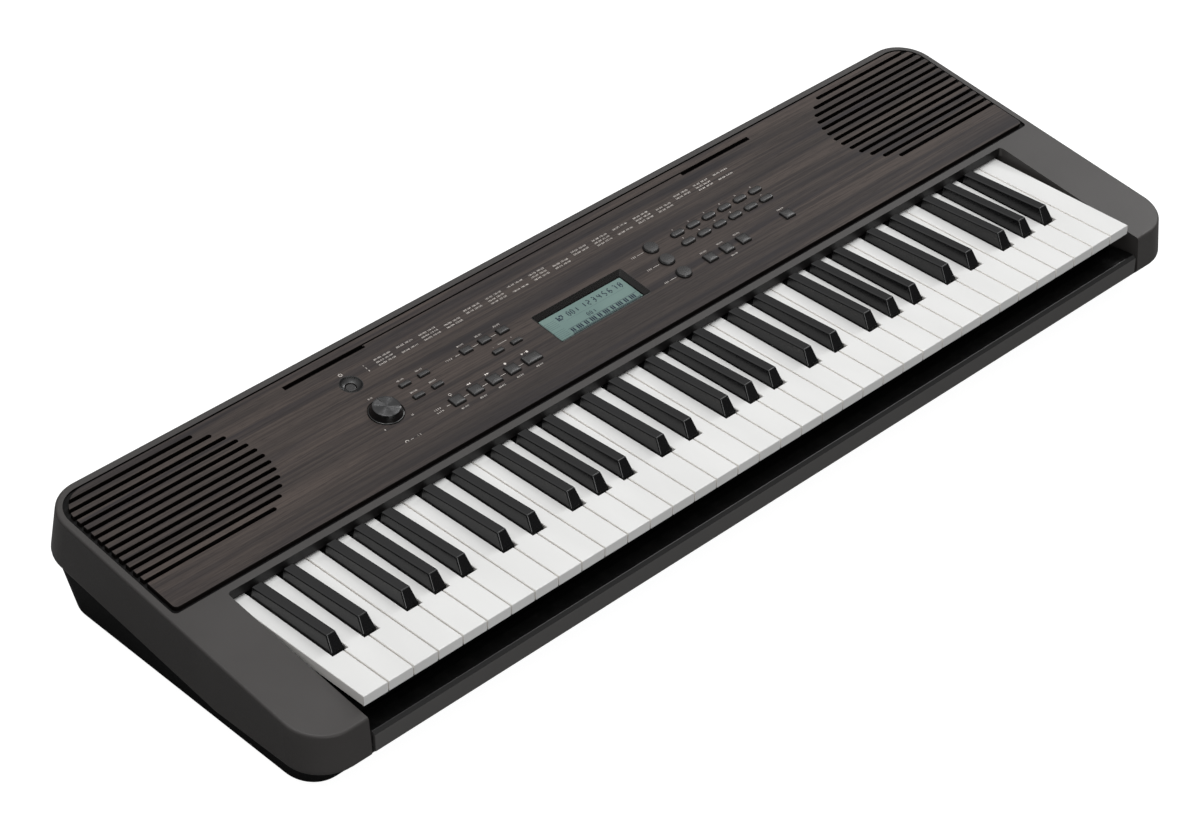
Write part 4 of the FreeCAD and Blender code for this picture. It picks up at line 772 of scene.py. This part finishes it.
# From a row's first button to its title on the left, and to both ends of the line between them
LESSON_TITLE = 18.0
LESSON_LEAD = (11.0, 6.8)
SONG_TITLE = 18.5
SONG_TITLE_RISE = 1.7
SONG_LEAD = (10.5, 7.0)
ROUND_TITLE = 19.5
ROUND_LEAD = (15.5, 8.4)

SIGN_SIZE = 1.9
SIGN_STEP = 1.0
FULL_TURN = (0, 360)

# Round the knob and the power button
SCALE_REACH = 13.6
SCALE_DROP = 14.6
KNOB_TITLE = 18.2
POWER_SIGN_FOOT = 12.6
POWER_SIGN_TOP = 14.4
POWER_SIGN_HALF = 0.2
POWER_SIGN_TURN = (120, 420)
FRONT_SIGN_V = 27.2
FRONT_SIGN_TURN = (-20, 200)


def stamp(form, text, u, v, size=PRINT_SIZE):
    """Print figures centred on a point."""
    data = bpy.data.curves.new("stamp", "FONT")
    data.body = text
    data.size = size
    data.resolution_u = 2
    data.align_x = "CENTER"
    data.align_y = "CENTER"
    holder = add_object("stamp", data)
    bpy.context.view_layer.update()
    mesh = bpy.data.meshes.new_from_object(holder)
    mesh.transform(Matrix.Translation((u, v, PRINT_LEVEL)))
    form.from_mesh(mesh)
    bpy.data.objects.remove(holder)
    bpy.data.curves.remove(data)
    bpy.data.meshes.remove(mesh)


def label(form, row, index, u, v):
    """A plain range of numbers in small print."""
    stamp(form, f"{row}0{index + 1}-{row}1{index}", u, v, SMALL_PRINT)


def dash(form, start, end, v, thick=PRINT_LINE):
    """A line from left to right."""
    bar(form, start, v - thick / 2, end, v + thick / 2, PRINT_LEVEL)


def lead(form, u, v, ends):
    """A line on the left of a button, its ends given from the button's middle."""
    dash(form, u - ends[0], u - ends[1], v)


def triangle(form, u, v, size, turn=1):
    """A filled triangle that points to the right, or to the left with a turn of -1."""
    base = u - turn * size / 2
    points = [(base, v - size / 2), (u + turn * size / 2, v), (base, v + size / 2)]
    form.faces.new([form.verts.new((x, y, PRINT_LEVEL)) for x, y in points])


def arc_mark(form, u, v, radius, thick, turn, steps=20):
    """A printed arc, the two angles of its turn in degrees from the u axis."""
    first, last = turn
    rings = []
    for reach in (radius - thick / 2, radius + thick / 2):
        angles = [math.radians(first + (last - first) * step / steps) for step in range(steps + 1)]
        rings.append([(u + reach * math.cos(a), v + reach * math.sin(a), PRINT_LEVEL) for a in angles])
    bridge(form, rings, closed=False)


def print_lists(form):
    """Ranges of preset numbers along the rear of the panel."""
    first = 1
    for block in range(LIST_BLOCKS):
        u = LIST_LEFT + LIST_PITCH * block
        for row, v in enumerate(LIST_ROWS):
            width = 4 + 3 * ((block + row) % 3)
            if (block + 2 * row) % 5 != 3:
                numbers = f"{first:03d}-{first + width:03d}"
                codes = f"{100 + 7 * block + row}-{104 + 7 * block}"
                stamp(form, f"{numbers}  {codes}", u, v)
            first += width + 1
    for row, v in enumerate(LIST_ROWS):
        stamp(form, str(row + 1), LIST_NUMBER_U, v)


def print_mode(form):
    """Figures and lines beside the mode buttons."""
    for index, u in enumerate(MODE_U):
        label(form, 1, index, u, UPPER_ROW + ABOVE_SMALL)
        label(form, 2, index, u, SECOND_ROW + ABOVE_SMALL)
    for index, u in enumerate(LESSON_U):
        label(form, 3, index, u, UPPER_ROW + ABOVE_LESSON)
    for start, end in zip(LESSON_U, LESSON_U[1:]):
        dash(form, start + LESSON_CLEAR, end - LESSON_CLEAR, UPPER_ROW)
    lead(form, LESSON_U[0], UPPER_ROW, LESSON_LEAD)
    stamp(form, "1 2 3 4", LESSON_U[0] - LESSON_TITLE, UPPER_ROW)
    signs = SECOND_ROW + ABOVE_SMALL
    stamp(form, "-", LESSON_U[1], signs)
    dash(form, LESSON_U[1] + SIGN_CLEAR, LESSON_U[2] - SIGN_CLEAR, signs)
    stamp(form, "+", LESSON_U[2], signs)


def print_song(form):
    """Figures and lines beside the song buttons, and round and pointed signs above them."""
    for index, u in enumerate(SONG_U + [SONG_LAST_U]):
        label(form, 4, index, u, LOWER_ROW - BELOW_SONG)
    for start, end in zip(SONG_U, SONG_U[1:] + [SONG_LAST_U - SONG_LAST_REACH]):
        dash(form, start + SONG_CLEAR, end - SONG_CLEAR, LOWER_ROW)
    lead(form, SONG_U[0], LOWER_ROW, SONG_LEAD)
    stamp(form, "1 2 3 4", SONG_U[0] - SONG_TITLE, LOWER_ROW + SONG_TITLE_RISE)
    stamp(form, "5 6 7 8", SONG_U[0] - SONG_TITLE, LOWER_ROW - SONG_TITLE_RISE)
    signs = LOWER_ROW + ABOVE_LOWER
    arc_mark(form, SONG_U[0], signs, 1.1, 0.35, FULL_TURN)
    for u, turn in ((SONG_U[1], -1), (SONG_U[2], 1)):
        for shift in (-SIGN_STEP, SIGN_STEP):
            triangle(form, u + shift, signs, SIGN_SIZE, turn)
    arc_mark(form, SONG_U[3], signs, 0.55, 1.1, FULL_TURN)
    triangle(form, SONG_LAST_U - 2.4, signs, 2.0)
    dash(form, SONG_LAST_U - 0.5, SONG_LAST_U + 0.5, signs)
    dash(form, SONG_LAST_U + 1.5, SONG_LAST_U + 3.4, signs, SIGN_SIZE)


def print_right(form):
    """Figures and lines beside the number, function and round buttons."""
    for index, u in enumerate(NUMBER_U):
        stamp(form, str(index + 1), u, UPPER_ROW + ABOVE_NUMBER)
        stamp(form, "7890-+"[index], u, NUMBER_ROW + ABOVE_NUMBER)
    for index, u in enumerate(FUNCTION_U):
        label(form, 5, index, u, LOWER_ROW + ABOVE_LOWER)
    stamp(form, "520-530", FUNCTION_U[1], LOWER_ROW - BELOW_FUNCTION, SMALL_PRINT)
    for index, v in enumerate((UPPER_ROW, ROUND_ROW, LOWER_ROW)):
        stamp(form, f"{index + 1} 0 0", ROUND_U - ROUND_TITLE, v)
        lead(form, ROUND_U, v, ROUND_LEAD)


def print_knob(form):
    """Volume scale, the power sign and the signs in front of the knob."""
    u, v = KNOB
    stamp(form, "0", u - SCALE_REACH, v - SCALE_DROP)
    stamp(form, "10", u + SCALE_REACH, v - SCALE_DROP)
    stamp(form, "0-10", u, v + KNOB_TITLE)
    power_u, power_v = POWER
    foot = power_v + POWER_SIGN_FOOT
    arc_mark(form, power_u, foot, 1.5, 0.4, POWER_SIGN_TURN)
    top = power_v + POWER_SIGN_TOP
    bar(form, power_u - POWER_SIGN_HALF, foot, power_u + POWER_SIGN_HALF, top, PRINT_LEVEL)
    arc_mark(form, u - 9.0, FRONT_SIGN_V, 1.3, 0.45, FRONT_SIGN_TURN)
    dash(form, u - 5.5, u - 2.5, FRONT_SIGN_V)
    stamp(form, "1  2", u + 3.0, FRONT_SIGN_V)


def make_print():
    """All print on the panel, as one piece."""
    form = bmesh.new()
    print_lists(form)
    print_mode(form)
    print_song(form)
    print_right(form)
    print_knob(form)
    make_piece("panel_print", form, ["ink"], "case")


make_button_caps()
make_knob()
make_power_dish()
make_bezel()
make_display()
make_print()


# Stage, camera and light, in metres
WHITE = (1, 1, 1, 1)
FLOOR_HALF = 12.0
FLOOR_GREY = (0.22, 0.22, 0.22, 1)
FLOOR_GLOW = 0.95

CAMERA_PLACE = (-1.5057, -1.494, 1.607)
CAMERA_AZIMUTH = math.radians(-44.325)
CAMERA_ELEVATION = math.radians(36.874)
CAMERA_SENSOR = 36.0
CAMERA_LENS = 100.93

# The sky's strength, by how steeply a direction rises
SKY = {"From Min": 0.35, "From Max": 0.9, "To Min": 0.08, "To Max": 1.15}

# Lamps: name, place, aim, width, height and watts
MIDDLE = (0, 0, 0.05)
LAMPS = (
    ("top_softbox", (-0.3, -0.1, 2.4), (-0.1, 0, 0.05), 1.6, 1.0, 12),
    ("front_softbox", (-0.9, -2.6, 0.9), MIDDLE, 1.6, 1.0, 20),
    ("edge_lamp", (2.9, 0.45, 4.0), MIDDLE, 1.6, 1.6, 36),
    ("top_lamp", (-0.2, 0.13, 2.4), MIDDLE, 0.3, 0.3, 4),
    ("right_lamp", (3.5, 0.56, 2.4), MIDDLE, 0.65, 0.65, 36),
)


def make_floor():
    """White floor: bright where it is seen, dim in what it throws back."""
    mesh = bpy.data.meshes.new("floor")
    half = FLOOR_HALF
    corners = [(-half, -half, 0), (half, -half, 0), (half, half, 0), (-half, half, 0)]
    mesh.from_pydata(corners, [], [(0, 1, 2, 3)])
    floor = add_object("floor", mesh)
    paint = Paint("floor_white", Base_Color=FLOOR_GREY, Roughness=0.9, Specular_IOR_Level=0.0,
                  Emission_Color=WHITE)
    seen = paint.node("LightPath").outputs["Is Camera Ray"]
    paint.set("Emission Strength", paint.maths("MULTIPLY", seen, FLOOR_GLOW))
    mesh.materials.append(paint.material)


def aim_along(target, direction):
    """Turn a camera or a lamp to look along a direction."""
    target.rotation_mode = "QUATERNION"
    target.rotation_quaternion = direction.to_track_quat("-Z", "Y")


def make_camera():
    """Camera where the photograph was taken from."""
    level = math.cos(CAMERA_ELEVATION)
    back = Vector((
        math.sin(CAMERA_AZIMUTH) * level, -math.cos(CAMERA_AZIMUTH) * level, math.sin(CAMERA_ELEVATION)
    ))
    data = bpy.data.cameras.new("camera")
    data.sensor_fit = "HORIZONTAL"
    data.sensor_width = CAMERA_SENSOR
    data.lens = CAMERA_LENS
    camera = add_object("camera", data)
    camera.location = CAMERA_PLACE
    aim_along(camera, -back)
    bpy.context.scene.camera = camera


def make_lamp(name, place, aim, width, height, power):
    """Rectangular lamp turned to a point."""
    data = bpy.data.lights.new(name, "AREA")
    data.shape = "RECTANGLE"
    data.size = width
    data.size_y = height
    data.energy = power
    lamp = add_object(name, data)
    lamp.location = place
    aim_along(lamp, Vector(aim) - Vector(place))


def make_sky():
    """Even light from above, dimmer towards the horizon, and white where it is seen."""
    world = bpy.data.worlds.new("studio")
    world.use_nodes = True
    tree = world.node_tree
    background = tree.nodes["Background"]
    direction = tree.nodes.new("ShaderNodeTexCoord").outputs["Generated"]
    split = tree.nodes.new("ShaderNodeSeparateXYZ")
    tree.links.new(direction, split.inputs["Vector"])
    rise = tree.nodes.new("ShaderNodeMapRange")
    tree.links.new(split.outputs["Z"], rise.inputs["Value"])
    for socket, value in SKY.items():
        rise.inputs[socket].default_value = value
    seen = tree.nodes.new("ShaderNodeLightPath").outputs["Is Camera Ray"]
    strength = tree.nodes.new("ShaderNodeMath")
    strength.operation = "MAXIMUM"
    tree.links.new(rise.outputs["Result"], strength.inputs[0])
    tree.links.new(seen, strength.inputs[1])
    tree.links.new(strength.outputs[0], background.inputs["Strength"])
    background.inputs["Color"].default_value = WHITE
    bpy.context.scene.world = world


make_floor()
make_camera()
make_sky()
for lamp_row in LAMPS:
    make_lamp(*lamp_row)
bpy.context.scene.view_settings.view_transform = "Standard"
